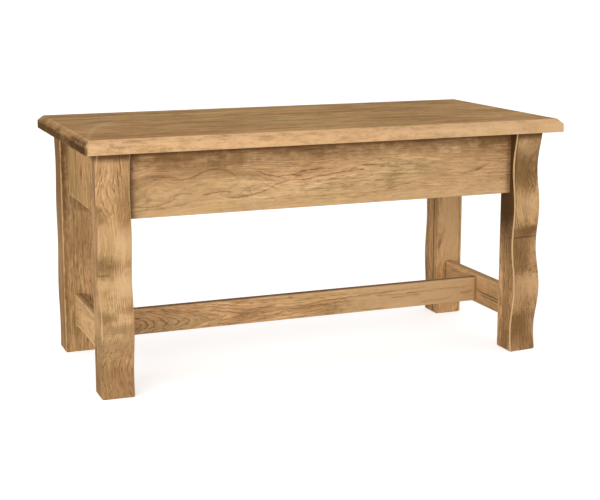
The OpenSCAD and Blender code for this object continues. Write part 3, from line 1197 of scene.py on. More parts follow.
def mortise_boxes(post_low, post_high):
    """Low and high corners of a post's three mortises, worked out from its rails."""
    joinery = bpy.context.scene.bench.joinery
    half = joinery.tenon / 2 + joinery.cheek_gap
    boxes = []
    for rail, across, tenon, shoulder in (
        ("apron_back", 1, joinery.long_tenon, joinery.apron_shoulder),
        ("apron_right", 0, joinery.end_tenon, joinery.apron_shoulder),
        ("stretcher_right", 0, joinery.end_tenon, joinery.stretcher_shoulder),
    ):
        along = 1 - across
        rail_low, rail_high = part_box(rail)
        inner = min(abs(post_low[along]), abs(post_high[along]))
        middle = (rail_low[across] + rail_high[across]) / 2
        low, high = Vector(), Vector()
        low[across], high[across] = middle - half, middle + half
        low[along], high[along] = inner - CUTTER_OVER, inner + tenon + joinery.end_gap
        low.z = rail_low.z + shoulder - joinery.cheek_gap
        high.z = rail_high.z - shoulder + joinery.cheek_gap
        for i in range(2):
            if post_low[i] < 0:
                low[i], high[i] = -high[i], -low[i]
        boxes.append((low, high))
    return boxes


# Each look says how a piece's wood differs from PLAIN_WOOD. Its rows and sets of numbers are:
# knots: centre, size of the swell, how far it lifts the rings, how dark its heart is
# patches: centre, size, shade, amount, raggedness
# lines: middle along the piece and across it, reach, rise, bend, shade, amount,
# and the width where it isn't the look's line_width
# wave: how strongly the troughs of a post are darkened and its crests made paler
# layers: thickness of the boards that a post is glued up from, a seed for their grain,
# and the tones of the outer three

# Further than any piece reaches, for a patch that runs right across
FAR = 9.0

POST_FINISH = dict(grain="Z", lean=0.0)

POST_LOOKS = {
    "post_front_left": dict(
        skew=-0.2, shade=1.04, wave=(0.12, 0.45), layers=(0.0215, 3.0, (0.04, -0.12, 0.0)),
        pith=(-0.39, -0.06, 0.0), ring_width=0.0044, wander=0.012, swirl=0.6, rings=0.8,
        streaks=0.25, clouds=0.8, fibres=0.45, wear=0.6, wear_width=0.0022, wear_ragged=0.35,
        knots=[
            ((-0.425, -0.18, 0.36), (0.03, 0.05, 0.05), 0.014, 0.0),
            ((-0.395, -0.18, 0.07), (0.025, 0.05, 0.06), 0.014, 0.0),
        ],
        patches=[
            ((-0.39, -0.18, 0.27), (0.026, 0.03, 0.04), "worn", 0.35, 0.8),
            ((-0.43, -0.185, 0.325), (0.022, 0.03, 0.03), "dark", 0.6, 1.2),
            ((-0.43, -0.18, 0.176), (0.014, 0.03, 0.018), "light", 0.5, 1.2),
            ((-0.39, -0.18, 0.2), (0.032, 0.03, 0.04), "worn", 0.6, 1.3),
            ((-0.42, -0.18, 0.2), (0.04, 0.03, 0.016), "light", 0.7, 0.8),
            ((-0.43, -0.18, 0.235), (0.045, 0.03, 0.022), "dark", 0.62, 1.3),
            ((-0.427, -0.18, 0.219), (0.02, 0.03, 0.0035), "glaze", 0.5, 0.4),
            ((-0.385, -0.185, 0.158), (0.026, 0.03, 0.012), "dark", 0.4, 1.4),
            ((-0.422, -0.185, 0.146), (0.022, 0.03, 0.016), "dark", 0.62, 1.5),
            ((-0.4, -0.185, 0.125), (0.04, 0.03, 0.014), "dark", 0.3, 1.5),
            ((-0.4, -0.185, 0.095), (FAR, 0.03, 0.03), "dark", 0.3, 1.3),
            ((-0.4, -0.19, 0.0), (FAR, FAR, 0.09), "dark", 0.35, 0.6),
            # Painted shadow under the front edge of the top.
            ((-0.4, -0.19, 0.428), (FAR, FAR, 0.015), "glaze", 0.85, 0.4),
            ((-0.385, -0.19, 0.35), (0.02, 0.03, 0.07), "dark", 0.4, 1.0),
        ],
    ),
    "post_front_right": dict(
        skew=0.2, lean=0.003, shade=1.12, wave=(0.62, 0.4),
        layers=(0.0205, 11.0, (0.1, -0.14, 0.12)), pith=(0.37, -0.05, 0.4), ring_width=0.0055,
        wander=0.013, swirl=0.7, rings=1.0, streaks=0.4, clouds=0.8, wear=0.85,
        wear_width=0.0026, wear_ragged=0.15,
        knots=[
            ((0.408, -0.18, 0.362), (0.018, 0.05, 0.026), 0.022, 0.0),
            ((0.412, -0.18, 0.3), (0.018, 0.05, 0.022), 0.02, 0.0),
            ((0.415, -0.18, 0.15), (0.018, 0.05, 0.03), 0.022, 0.0),
        ],
        patches=[
            ((0.4, -0.178, 0.226), (0.05, 0.02, 0.0024), "glaze", 0.75, 0.3),
            ((0.41, -0.178, 0.238), (0.04, 0.02, 0.014), "dark", 0.75, 1.1),
            ((0.392, -0.178, 0.165), (0.025, 0.02, 0.016), "dark", 0.5, 1.2),
            ((0.4, -0.19, 0.0), (FAR, FAR, 0.06), "dark", 0.4, 0.6),
            ((0.405, -0.18, 0.4), (0.03, 0.02, 0.03), "light", 0.45, 1.4),
            ((0.412, -0.18, 0.293), (0.02, 0.02, 0.02), "worn", 0.4, 1.2),
            ((0.41, -0.18, 0.135), (0.03, 0.02, 0.026), "light", 0.6, 1.2),
            # Painted shadow under the front edge of the top.
            ((0.4, -0.19, 0.428), (FAR, FAR, 0.015), "glaze", 0.8, 0.4),
            # This row and the next: painted shade on the inner face, in the corner beside and
            # under the front apron.
            ((0.374, -0.172, 0.38), (0.006, 0.03, 0.16), "glaze", 1.0, 0.3),
            ((0.374, -0.15, 0.285), (0.006, 0.08, 0.085), "glaze", 1.0, 0.3),
        ],
    ),
    "post_back_left": dict(
        skew=-0.3, shade=1.2, wave=(0.4, 0.3), layers=(0.021, 6.0, (-0.05, 0.05, -0.05)),
        pith=(-0.36, 0.02, 1.3), ring_width=0.006, wander=0.01, streaks=0.9,
        patches=[
            # Painted shade: the front and left faces of this back post are darkened, most under
            # the top and along the apron's lower edge.
            ((-0.4, 0.13, 0.24), (0.03, 0.004, 0.1), "dark", 0.5, 0.8),
            ((-0.432, 0.13, 0.22), (0.012, FAR, FAR), "dark", 0.55, 0.6),
            ((-0.432, 0.13, 0.38), (0.012, FAR, 0.16), "dark", 0.75, 0.8),
            ((-0.41, 0.13, 0.4), (0.04, 0.006, 0.09), "glaze", 0.65, 0.8),
            ((-0.4, 0.13, 0.432), (FAR, FAR, 0.016), "glaze", 0.5, 0.8),
            ((-0.4, 0.13, 0.31), (FAR, 0.004, 0.05), "glaze", 0.4, 0.8),
        ],
    ),
    "post_back_right": dict(
        skew=-0.5, shade=1.46, wave=(0.4, 0.3), layers=(0.0205, 19.0, (-0.22, 0.06, 0.04)),
        pith=(0.47, 0.06, 2.1), ring_width=0.006, wander=0.01, streaks=0.8,
        patches=[
            # Painted light: together with this post's high shade, it makes paler the front of a
            # back post that the lamps reach less.
            ((0.405, 0.13, 0.18), (0.03, 0.008, 0.25), "light", 0.85, 0.8),
            # This row: painted shade on the inner face.
            ((0.374, 0.14, 0.2), (0.004, 0.06, FAR), "dark", 0.35, 1.0),
            ((0.374, 0.147, 0.2), (0.006, 0.003, FAR), "glaze", 0.7, 0.4),
            ((0.374, 0.178, 0.2), (0.006, 0.003, FAR), "glaze", 0.4, 0.6),
            ((0.426, 0.13, 0.2), (0.002, 0.006, FAR), "glaze", 0.4, 0.8),
            # This row and the next: painted shadow under the top, and painted shade at the
            # apron's lower edge.
            ((0.4, 0.13, 0.432), (FAR, FAR, 0.016), "glaze", 0.5, 0.8),
            ((0.374, 0.13, 0.31), (0.02, 0.02, 0.05), "glaze", 0.4, 0.8),
        ],
    ),
}

BOARD_FINISH = dict(
    grain="X", shade=1.06, light=stain(215, 173, 122), body=stain(192, 151, 102),
    ring_width=0.012, rings=0.65, streaks=0.55, clouds=0.5, cracks=0.4, flecks=0.25,
    fibres=0.42, end_grain=0.85, chamfer=0.0095, bevel=0.9, wear=0.15, wear_width=0.0022,
    wear_ragged=1.0, gloss=0.005, lines_on="top", line_face=0.457, line_width=0.006,
)

# A pale arc that runs through three boards, as a line
PALE_ARC = (-0.4, -0.037, 0.05, 0.119, -0.051, "worn", 0.32, 0.04)


def right_rim(across):
    """A dark streak along the right rim of the top, as a patch."""
    return ((0.4485, across, 0.4568), (0.006, FAR, 0.004), "glaze", 0.6, 0.6)


BOARD_LOOKS = {
    "top_board_front": dict(
        pith=(0.3, -0.05, 0.38), knots=[((-0.46, -0.12, 0.457), (0.07, 0.05, 0.05), 0.03, 0.0)],
        patches=[
            right_rim(-0.16),
            # This row and the next: pale lines along the top's front arrises, painted highlight
            # with some wear.
            ((-0.3, -0.207, 0.4568), (0.2, 0.0014, 0.0014), "worn", 0.7, 0.5),
            ((-0.3, -0.216, 0.4475), (0.2, 0.0012, 0.0012), "worn", 0.5, 0.8),
            ((0.34, -0.216, 0.445), (0.28, 0.03, 0.03), "worn", 0.5, 0.8),
            ((-0.457, -0.2, 0.4385), (0.006, 0.16, 0.017), "glaze", 1.0, 0.35),
            ((-0.454, -0.145, 0.448), (0.012, 0.045, 0.0065), "glaze", 0.9, 0.4),
            ((-0.4535, -0.195, 0.451), (0.006, 0.03, 0.007), "glaze", 0.6, 0.6),
            ((-0.355, -0.216, 0.4536), (0.03, 0.02, 0.0014), "body", 0.9, 0.8),
            ((-0.413, -0.216, 0.447), (0.006, 0.02, 0.005), "dark", 0.35, 1.2),
            ((-0.285, -0.216, 0.447), (0.02, 0.02, 0.003), "body", 0.6, 1.2),
            ((-0.14, -0.216, 0.4467), (0.022, 0.02, 0.004), "body", 0.9, 1.2),
            ((-0.053, -0.216, 0.452), (0.009, 0.02, 0.003), "body", 0.8, 1.2),
            ((0.03, -0.216, 0.448), (0.03, 0.02, 0.004), "body", 0.6, 1.2),
            ((0.18, -0.216, 0.4515), (0.02, 0.02, 0.002), "body", 0.7, 1.2),
            ((0.39, -0.216, 0.444), (0.03, 0.02, 0.012), "red", 0.25, 1.0),
        ],
        lines=[
            PALE_ARC,
            (-0.097, -0.158, 0.045, 0.003, 0.0, "dark", 0.41),
            (0.3, -0.133, 0.03, -0.0045, 0.0, "dark", 0.46),
            (0.05, -0.15, 0.09, 0.006, -0.0067, "dark", 0.35),
        ],
    ),
    "top_board_mid_front": dict(
        pith=(1.7, 0.06, 0.37), knots=[((-0.46, -0.06, 0.457), (0.08, 0.06, 0.05), 0.03, 0.0)],
        patches=[
            right_rim(-0.06),
            ((-0.457, -0.11, 0.443), (0.012, 0.05, 0.017), "glaze", 1.0, 0.4),
            ((-0.457, -0.032, 0.44), (0.012, 0.016, 0.008), "body", 0.8, 0.5),
        ],
        lines=[
            PALE_ARC,
            (-0.31, -0.028, 0.045, -0.012, 0.0067, "glaze", 0.35),
            (-0.18, -0.0175, 0.06, -0.0165, 0.0135, "dark", 0.52),
            (-0.165, -0.094, 0.045, -0.003, 0.0, "dark", 0.52),
            (0.19, -0.0755, 0.075, -0.0075, 0.0, "dark", 0.52),
            (0.325, -0.081, 0.053, -0.0165, 0.0, "glaze", 0.35),
            (0.42, -0.03, 0.03, -0.012, 0.0, "glaze", 0.29),
            (0.02, -0.05, 0.09, 0.009, 0.009, "dark", 0.41),
        ],
    ),
    "top_board_mid_back": dict(
        pith=(2.9, -0.04, 0.39),
        patches=[
            ((-0.457, 0.0166, 0.4467), (0.02, 0.016, 0.008), "glaze", 0.8, 0.6),
            ((-0.457, 0.06, 0.44), (0.012, FAR, 0.016), "glaze", 0.6, 0.8),
            right_rim(0.06),
        ],
        lines=[
            PALE_ARC,
            (-0.377, 0.046, 0.03, 0.0158, 0.0, "glaze", 0.46),
            (0.061, 0.015, 0.012, 0.0, 0.0, "glaze", 0.41),
            (0.17, 0.0765, 0.03, 0.0, 0.0, "dark", 0.52),
            (0.124, 0.003, 0.022, -0.003, 0.0, "glaze", 0.35),
            (-0.05, 0.06, 0.09, -0.012, 0.009, "dark", 0.41),
        ],
    ),
    "top_board_back": dict(
        pith=(4.3, 0.06, 0.36),
        patches=[
            ((-0.457, 0.16, 0.44), (0.012, FAR, 0.016), "glaze", 0.6, 0.8),
            right_rim(0.16),
        ],
        lines=[(0.364, 0.131, 0.015, -0.006, 0.0, "glaze", 0.41)],
    ),
}

APRON_LOOKS = {
    "apron_front": dict(
        grain="X", shade=1.19, light=stain(211, 174, 129), body=stain(189, 153, 109),
        pith=(0.2, -0.1, 0.05), ring_width=0.0058, wander=0.007, swirl=0.35, rings=0.55,
        streaks=0.35, clouds=0.8, cracks=0.6, flecks=0.4, fibres=0.55, line_face=-0.164,
        lines=[
            (-0.308, 0.3817, 0.03, -0.0029, -0.0034, "glaze", 0.45),
            (-0.26, 0.3782, 0.02, 0.0053, 0.0026, "glaze", 0.7),
            (-0.206, 0.3898, 0.035, -0.0087, -0.0124, "glaze", 0.5),
            (-0.097, 0.3716, 0.048, -0.0038, 0.0108, "glaze", 0.7),
            (-0.035, 0.3802, 0.025, 0.0018, -0.0014, "glaze", 0.8),
            (-0.329, 0.3315, 0.036, 0.0041, 0.0066, "glaze", 0.6),
            (-0.279, 0.3506, 0.018, 0.0023, -0.004, "glaze", 0.6),
            (-0.312, 0.3272, 0.052, 0.0055, 0.0036, "glaze", 0.5),
            (-0.215, 0.3503, 0.028, 0.001, -0.0032, "glaze", 0.7),
            (-0.157, 0.3401, 0.04, 0.0047, 0.0038, "glaze", 0.85),
            (-0.086, 0.3619, 0.038, 0.008, -0.0072, "glaze", 0.6),
            (-0.029, 0.3658, 0.03, 0.0042, 0.0009, "glaze", 0.6),
            (-0.195, 0.3553, 0.024, 0.0059, 0.0063, "glaze", 0.4),
            (-0.144, 0.3498, 0.016, 0.0066, 0.004, "glaze", 0.4),
            (0.291, 0.3598, 0.034, 0.0075, 0.0048, "glaze", 0.6),
            (0.033, 0.3744, 0.039, 0.0031, -0.0031, "glaze", 0.6),
            (0.139, 0.379, 0.026, 0.0022, 0.0011, "glaze", 0.4),
            (0.11, 0.3549, 0.018, 0.0031, 0.0013, "glaze", 0.4),
            (0.137, 0.3418, 0.028, 0.0048, -0.0017, "glaze", 0.4),
        ],
        knots=[
            ((-0.325, -0.164, 0.368), (0.035, 0.05, 0.022), -0.026, 0.0),
            ((-0.205, -0.164, 0.372), (0.13, 0.05, 0.026), -0.036, 0.0),
            ((0.08, -0.164, 0.39), (0.1, 0.05, 0.022), -0.02, 0.0),
            ((0.2596, -0.164, 0.334), (0.008, 0.02, 0.006), 0.008, 0.85),
            ((0.2704, -0.164, 0.3326), (0.007, 0.02, 0.005), 0.006, 0.85),
            ((0.092, -0.164, 0.316), (0.008, 0.02, 0.008), 0.008, 0.8),
        ],
        patches=[
            ((-0.26, -0.164, 0.35), (0.14, FAR, 0.045), "light", 0.5, 0.8),
            ((0.26, -0.164, 0.36), (0.14, FAR, 0.05), "light", 0.35, 0.8),
            ((0.0, -0.164, 0.312), (FAR, FAR, 0.03), "light", 0.5, 0.8),
            # Painted shadow of the top's overhang, darkening the apron's upper part.
            ((0.0, -0.164, 0.436), (FAR, FAR, 0.045), "dark", 0.65, 1.2),
            ((-0.19, -0.164, 0.405), (0.05, FAR, 0.02), "dark", 0.5, 1.2),
            ((0.33, -0.164, 0.42), (0.05, FAR, 0.02), "dark", 0.5, 1.2),
            # This row and the next two: painted shadow right under the top's front edge, and
            # painted shade in the corners where the apron meets the posts.
            ((0.0, -0.164, 0.427), (FAR, FAR, 0.009), "glaze", 0.7, 0.3),
            ((-0.374, -0.164, 0.38), (0.014, FAR, FAR), "glaze", 0.55, 0.8),
            ((0.374, -0.164, 0.38), (0.012, FAR, FAR), "glaze", 0.5, 0.8),
        ],
    ),
    "apron_back": dict(
        grain="X", pith=(3.1, 0.07, 0.38),
        patches=[
            # Painted shadow under the top, and painted shade in the corners where the apron meets
            # the posts.
            ((0.0, 0.164, 0.436), (FAR, FAR, 0.04), "dark", 0.6, 0.9),
            ((-0.374, 0.164, 0.38), (0.012, FAR, FAR), "glaze", 0.5, 0.8),
            ((0.374, 0.164, 0.38), (0.012, FAR, FAR), "glaze", 0.5, 0.8),
        ],
    ),
    "apron_left": dict(
        grain="Z", light=stain(212, 171, 117), body=stain(190, 150, 99), pith=(-0.33, 0.1, 0.4),
        streaks=0.8,
        knots=[((-0.418, -0.016, 0.309), (0.008, 0.01, 0.007), 0.008, 0.8)],
        patches=[
            ((-0.418, 0.0086, 0.3705), (0.01, 0.009, 0.02), "red", 1.0, 0.8),
            # This row and the next two: painted shadow under the top, and painted shade in the
            # corners where the apron meets the posts.
            ((-0.418, 0.0, 0.436), (FAR, FAR, 0.03), "dark", 0.6, 0.9),
            ((-0.418, -0.13, 0.38), (FAR, 0.01, FAR), "glaze", 0.5, 0.8),
            ((-0.418, 0.13, 0.38), (FAR, 0.01, FAR), "glaze", 0.5, 0.8),
        ],
    ),
    "apron_right": dict(
        grain="Z", pith=(0.33, -0.1, 1.9),
        patches=[
            # Painted shadow under the top, and painted shade in the corners where the apron meets
            # the posts.
            ((0.418, 0.0, 0.436), (FAR, FAR, 0.03), "dark", 0.6, 0.9),
            ((0.418, -0.13, 0.38), (FAR, 0.01, FAR), "glaze", 0.5, 0.8),
            ((0.418, 0.13, 0.38), (FAR, 0.01, FAR), "glaze", 0.5, 0.8),
        ],
    ),
}

STRETCHER_LOOKS = {
    "stretcher_left": dict(
        grain="Y", shade=1.28, pith=(-0.35, 0.9, 0.08), rings=0.5, clouds=0.3, cracks=0.25,
        flecks=0.15, fibres=0.4,
        patches=[
            # Painted shade on the stretcher's top face, and in the corners where it meets the
            # posts.
            ((-0.4, 0.0, 0.119), (0.009, FAR, 0.012), "glaze", 0.5, 0.6),
            ((-0.4, 0.13, 0.08), (FAR, 0.008, FAR), "glaze", 0.5, 0.6),
            ((-0.4, -0.13, 0.08), (FAR, 0.008, FAR), "glaze", 0.5, 0.6),
        ],
    ),
    "stretcher_right": dict(
        grain="Y", shade=1.16, pith=(0.36, 2.4, 0.1), rings=0.4, cracks=0.2, flecks=0.15,
        fibres=0.35,
        knots=[((0.393, -0.0664, 0.1127), (0.01, 0.012, 0.008), 0.008, 0.85)],
        patches=[
            ((0.393, -0.07, 0.083), (0.01, 0.08, 0.0022), "glaze", 0.8, 0.3),
            ((0.393, -0.075, 0.077), (0.01, 0.07, 0.002), "glaze", 0.7, 0.3),
            # This row and the next: painted shade in the corners where the stretcher meets the
            # posts.
            ((0.4, -0.13, 0.08), (FAR, 0.008, FAR), "glaze", 0.5, 0.6),
            ((0.4, 0.13, 0.08), (FAR, 0.008, FAR), "glaze", 0.5, 0.6),
        ],
    ),
    "stretcher_middle": dict(
        grain="X", shade=1.28, pith=(0.7, 0.0, 0.079), ring_width=0.0055, wander=0.004,
        rings=0.75, streaks=0.5, clouds=0.5, fibres=0.55, line_face=-0.0095,
        knots=[((-0.42, -0.01, 0.08), (0.2, FAR, FAR), -0.07, 0.0)],
        lines=[
            (0.043, 0.0849, 0.054, 0.0003, 0.0035, "red", 0.8),
            (0.052, 0.092, 0.044, 0.0038, -0.0029, "red", 0.8),
            (0.15, 0.0955, 0.06, 0.0018, 0.001, "red", 0.7),
            (0.21, 0.0905, 0.05, -0.0012, 0.001, "red", 0.6),
            (-0.027, 0.0786, 0.045, 0.006, -0.0023, "glaze", 0.5),
            (-0.068, 0.0916, 0.019, 0.0011, 0.0005, "glaze", 0.6),
            (-0.113, 0.0803, 0.051, 0.0076, -0.0008, "glaze", 0.45),
            (0.37, 0.0815, 0.014, 0.0018, 0.001, "red", 0.8),
            (0.232, 0.085, 0.035, 0.001, 0.0012, "glaze", 0.5),
            (0.262, 0.0915, 0.03, 0.0008, -0.001, "glaze", 0.4),
            (0.22, 0.0985, 0.06, 0.0015, 0.0008, "red", 0.45),
            (0.3, 0.071, 0.035, 0.0012, 0.0006, "glaze", 0.45),
            (0.15, 0.066, 0.035, -0.001, 0.001, "glaze", 0.5),
            (0.33, 0.093, 0.04, -0.0008, 0.0012, "red", 0.5),
        ],
        patches=[
            ((-0.3935, -0.01, 0.08), (0.05, FAR, FAR), "dark", 0.45, 0.8),
            ((0.28, -0.01, 0.08), (0.25, FAR, FAR), "light", 0.75, 0.8),
            ((0.26, -0.01, 0.08), (0.2, FAR, FAR), "worn", 0.4, 0.8),
            # This row and the next: painted shade on the stretcher's top face, and in the corner
            # where it meets the right stretcher.
            ((0.0, 0.0, 0.1115), (FAR, 0.0088, 0.0025), "glaze", 0.75, 0.2),
            ((0.3935, -0.01, 0.08), (0.008, FAR, FAR), "glaze", 0.5, 0.6),
        ],
    ),
}

# The body and the pith are added for each piece
BARE_LOOK = dict(
    grain="X", light=stain(224, 198, 158), dark=stain(158, 120, 78),
    rings=0.4, wear=0.25, relief=0.8,
)


class BENCH_OT_top(bpy.types.Operator):
    """Builds the four boards of the top, with a wide chamfer round the upper edge"""

    bl_idname = "bench.build_top"
    bl_label = "Top Boards"

    def execute(self, context):
        low, high = span([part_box(node) for node in BOARDS])
        edge = context.scene.bench.joinery.board_edge
        joints = sorted(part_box(node)[1].y for node in BOARDS)[:-1]

        def outer(a, b):
            return not any(abs(a.y - y) < SAME and abs(b.y - y) < SAME for y in joints)

        for node in BOARDS:
            piece = arrised_copy(node, edge, 3, outer)
            look = {**BOARD_FINISH, **BOARD_LOOKS[node]}
            material = wood_material(f"Top Wood {node[10:]}", low, high, look)
            settle(piece, [node], material)
        return {"FINISHED"}


class BENCH_OT_posts(bpy.types.Operator):
    """Builds the four posts, sawn to a wave on their outer faces and mortised"""

    bl_idname = "bench.build_posts"
    bl_label = "Wavy Posts"

    def execute(self, context):
        shape = values_of(context.scene.bench.post)
        for node in POSTS:
            low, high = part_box(node)
            centre, size = (low + high) / 2, high - low
            look = {**POST_FINISH, **POST_LOOKS[node]}
            material = wood_material(f"Post Wood {node[5:]}", low, high, look)
            cutter = new_object("Mortises", box_mesh("Mortises", mortise_boxes(low, high)))
            piece = new_object(node.title(), bpy.data.meshes.new(node.title()))
            add_tree(
                piece,
                tree(wavy_post_tree),
                **shape,
                width=size.x,
                depth=size.y,
                height=size.z,
                skew=look["skew"],
                lean=look["lean"],
                place=(centre.x, centre.y, low.z),
                turn=(0.0, 0.0, 0.0 if centre.y < 0 else pi),
                mortises=cutter,
                material=material,
            )
            bake_modifiers(piece)
            bpy.data.objects.remove(cutter)
            settle(piece, [node], material)
        return {"FINISHED"}


def build_rails(nodes, looks, finish_name):
    """Rails with their long edges rounded and their tenons left square."""
    edge = bpy.context.scene.bench.joinery.rail_edge
    for node in nodes:
        low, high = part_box(node)
        axis = max(range(3), key=lambda i: high[i] - low[i])

        def lengthwise(a, b):
            return all(abs(a[i] - b[i]) < SAME for i in range(3) if i != axis)

        piece = arrised_copy(node, edge, 2, lengthwise)
        material = wood_material(f"{finish_name} {node.split('_')[-1]}", low, high, looks[node])
        settle(piece, [node], material)


class BENCH_OT_aprons(bpy.types.Operator):
    """Builds the four aprons under the top"""

    bl_idname = "bench.build_aprons"
    bl_label = "Aprons"

    def execute(self, context):
        build_rails(APRONS, APRON_LOOKS, "Apron Wood")
        return {"FINISHED"}


class BENCH_OT_stretchers(bpy.types.Operator):
    """Builds the three stretchers of the H below"""

    bl_idname = "bench.build_stretchers"
    bl_label = "Stretchers"

    def execute(self, context):
        build_rails(STRETCHERS, STRETCHER_LOOKS, "Stretcher Wood")
        return {"FINISHED"}


def build_inner(node, finish_name, pith):
    """A piece of bare wood under the top."""
    settings = bpy.context.scene.bench
    low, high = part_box(node)
    look = {**BARE_LOOK, "body": settings.finish.bare, "pith": pith}
    material = wood_material(f"Inner Wood {finish_name}", low, high, look)
    piece = arrised_copy(node, settings.joinery.inner_edge, 2)
    settle(piece, [node], material)


class BENCH_OT_corner_blocks(bpy.types.Operator):
    """Builds the four corner blocks of bare wood"""

    bl_idname = "bench.build_corner_blocks"
    bl_label = "Corner Blocks"

    def execute(self, context):
        for number, node in enumerate(BLOCKS):
            build_inner(node, node[13:], (0.1 + 0.7 * number, 0.05, 0.36))
        return {"FINISHED"}


class BENCH_OT_top_buttons(bpy.types.Operator):
    """Builds the ten buttons that hold the top to the aprons"""

    bl_idname = "bench.build_top_buttons"
    bl_label = "Top Buttons"

    def execute(self, context):
        build_inner("top_buttons", "Buttons", (0.4, 0.0, 0.3))
        return {"FINISHED"}


def islands(node):
    """Lowest and highest corners of each separate solid in a node."""
    mesh = joined_copy(node)
    seen, boxes = set(), []
    for start in mesh.verts:
        if start in seen:
            continue
        seen.add(start)
        stack, corners = [start], []
        while stack:
            vert = stack.pop()
            corners.append(vert.co.copy())
            for edge in vert.link_edges:
                other = edge.other_vert(vert)
                if other not in seen:
                    seen.add(other)
                    stack.append(other)
        boxes.append(span([corners]))
    mesh.free()
    return boxes


# Turns of a screw by the axis that it lies along and whether it points up that axis
SCREW_TURNS = {
    (0, True): (0.0, pi / 2, 0.0),
    (0, False): (0.0, -pi / 2, 0.0),
    (1, True): (-pi / 2, 0.0, 0.0),
    (1, False): (pi / 2, 0.0, 0.0),
    (2, True): (0.0, 0.0, 0.0),
}


def screw_place(low, high):
    """Where a screw's head goes and how the screw is turned; all point up or outward."""
    axis = max(range(3), key=lambda i: high[i] - low[i])
    head = (low + high) / 2
    forward = axis == 2 or head[axis] > 0
    head[axis] = low[axis] if forward else high[axis]
    return head, SCREW_TURNS[axis, forward]


class BENCH_OT_screws(bpy.types.Operator):
    """Builds the screws of the top and of the corner blocks"""

    bl_idname = "bench.build_screws"
    bl_label = "Screws"

    def execute(self, context):
        sizes = values_of(context.scene.bench.screw)
        steel = steel_material()
        for node in ("top_screws", "block_screws"):
            screws = islands(node)
            low, high = screws[-1]
            pattern = new_object("Screw Pattern", bpy.data.meshes.new("Screw Pattern"))
            add_tree(
                pattern, tree(wood_screw_tree), **sizes, length=max(high - low), material=steel
            )
            bake_modifiers(pattern)
            places = [screw_place(low, high) for low, high in screws]
            piece = set_on_points(node.title(), pattern, places, steel)
            bpy.data.objects.remove(pattern)
            settle(piece, [node], steel)
        return {"FINISHED"}


# Stage

# The floor is a disc, a hair below the feet
FLOOR_RADIUS = 30
FLOOR_SIDES = 96
FLOOR_DROP = 0.0002
# What the camera sees the floor glow with, so that it looks white
FLOOR_GLOW = 0.62

# Place and size of each lamp, which looks at the lamps' target
KEY_LAMP = (-2.4, -2.5, 0.8), (2.6, 1.7)
FILL_LAMP = (2.4, -2.0, 0.9), (2.0, 1.6)
LAMP_TARGET = Vector((0, 0, 0.2))

# Width of the frame, in mm, that the focal length is given for
FRAME_WIDTH = 36


class BENCH_OT_stage(bpy.types.Operator):
    """Sets the floor, the lights, the white surround and the camera"""

    bl_idname = "bench.set_stage"
    bl_label = "Stage"

    def execute(self, context):
        stage = context.scene.bench.stage
        scene = context.scene
        scene.view_settings.view_transform = "Standard"
        lay_floor()
        scene.world = white_room(stage.room_light)
        add_lamp("Key", *KEY_LAMP, stage.key_power)
        add_lamp("Fill", *FILL_LAMP, stage.fill_power)
        camera = bpy.data.cameras.new("Camera")
        camera.sensor_width = FRAME_WIDTH
        camera.sensor_fit = "HORIZONTAL"
        camera.lens = stage.focal_length
        camera.shift_y = stage.lens_rise
        holder = new_object("Camera", camera)
        holder.location = stage.camera_place
        holder.rotation_euler = stage.camera_turn
        scene.camera = holder
        return {"FINISHED"}


def seen_directly(w):
    """Is 1 to the camera, to gloss and through glass, and 0 to the light on the bench."""
    path = w.put("ShaderNodeLightPath").outputs
    direct = w.larger(path["Is Camera Ray"], path["Is Glossy Ray"])
    return w.larger(direct, path["Is Transmission Ray"])


def lay_floor():
    """A white floor, clear from below so that the underside can be seen."""
    mesh = bmesh.new()
    bmesh.ops.create_circle(mesh, cap_ends=True, segments=FLOOR_SIDES, radius=FLOOR_RADIUS)
    floor = new_object("Floor", plain_mesh("Floor", mesh))
    floor.location.z = -FLOOR_DROP
    material = bpy.data.materials.new("White Floor")
    w = cleared(material)
    matt = w.made("ShaderNodeBsdfDiffuse", {"Color": stain(232, 232, 232)})
    glow = w.made("ShaderNodeEmission", {"Strength": w.multiply(seen_directly(w), FLOOR_GLOW)})
    white = w.made("ShaderNodeAddShader", {0: matt, 1: glow})
    below = w.made("ShaderNodeNewGeometry", output="Backfacing")
    clear = w.made("ShaderNodeBsdfTransparent")
    w.surface(w.put("ShaderNodeMixShader", {0: below, 1: white, 2: clear}))
    floor.data.materials.append(material)


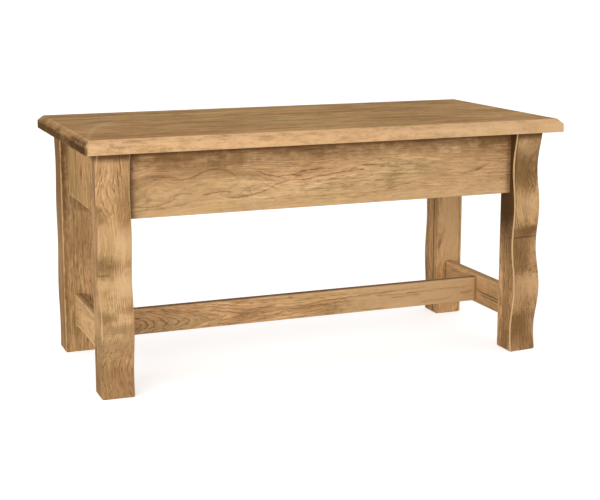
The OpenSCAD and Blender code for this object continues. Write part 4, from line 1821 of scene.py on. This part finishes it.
def white_room(strength):
    """A world that looks white and lights the bench evenly from all round."""
    world = bpy.data.worlds.new("White Room")
    w = cleared(world)
    level = w.multiply_add(seen_directly(w), 1.0 - strength, strength)
    glow = {"Color": (1.0, 1.0, 1.0, 1.0), "Strength": level}
    w.surface(w.put("ShaderNodeBackground", glow), "World")
    return world


def add_lamp(name, place, size, power):
    lamp = bpy.data.lights.new(name, "AREA")
    lamp.shape = "RECTANGLE"
    lamp.size, lamp.size_y = size
    lamp.energy = power
    holder = new_object(name, lamp)
    holder.location = place
    holder.rotation_euler = (LAMP_TARGET - Vector(place)).to_track_quat("-Z", "Y").to_euler()


class BENCH_PT_builder(bpy.types.Panel):
    """Lists the pieces of the bench and its settings"""

    bl_label = "Bench"
    bl_idname = "BENCH_PT_builder"
    bl_space_type = "VIEW_3D"
    bl_region_type = "UI"
    bl_category = "Bench"

    def draw(self, context):
        settings = context.scene.bench
        for operator in OPERATORS:
            self.layout.operator(operator.bl_idname)
        for part in settings.__annotations__:
            box = self.layout.box()
            group = getattr(settings, part)
            for name in group.__annotations__:
                box.prop(group, name)


OPERATORS = [
    BENCH_OT_top,
    BENCH_OT_posts,
    BENCH_OT_aprons,
    BENCH_OT_stretchers,
    BENCH_OT_corner_blocks,
    BENCH_OT_top_buttons,
    BENCH_OT_screws,
    BENCH_OT_stage,
]

CLASSES = [
    BenchPostShape,
    BenchJoinery,
    BenchScrewSizes,
    BenchFinish,
    BenchStage,
    BenchSettings,
    *OPERATORS,
    BENCH_PT_builder,
]


def register():
    for cls in CLASSES:
        bpy.utils.register_class(cls)
    bpy.types.Scene.bench = PointerProperty(type=BenchSettings)


def unregister():
    del bpy.types.Scene.bench
    for cls in reversed(CLASSES):
        bpy.utils.unregister_class(cls)


def main():
    register()
    bpy.ops.bench.build_top()
    bpy.ops.bench.build_posts()
    bpy.ops.bench.build_aprons()
    bpy.ops.bench.build_stretchers()
    bpy.ops.bench.build_corner_blocks()
    bpy.ops.bench.build_top_buttons()
    bpy.ops.bench.build_screws()
    bpy.ops.bench.set_stage()


if __name__ == "__main__":
    main()
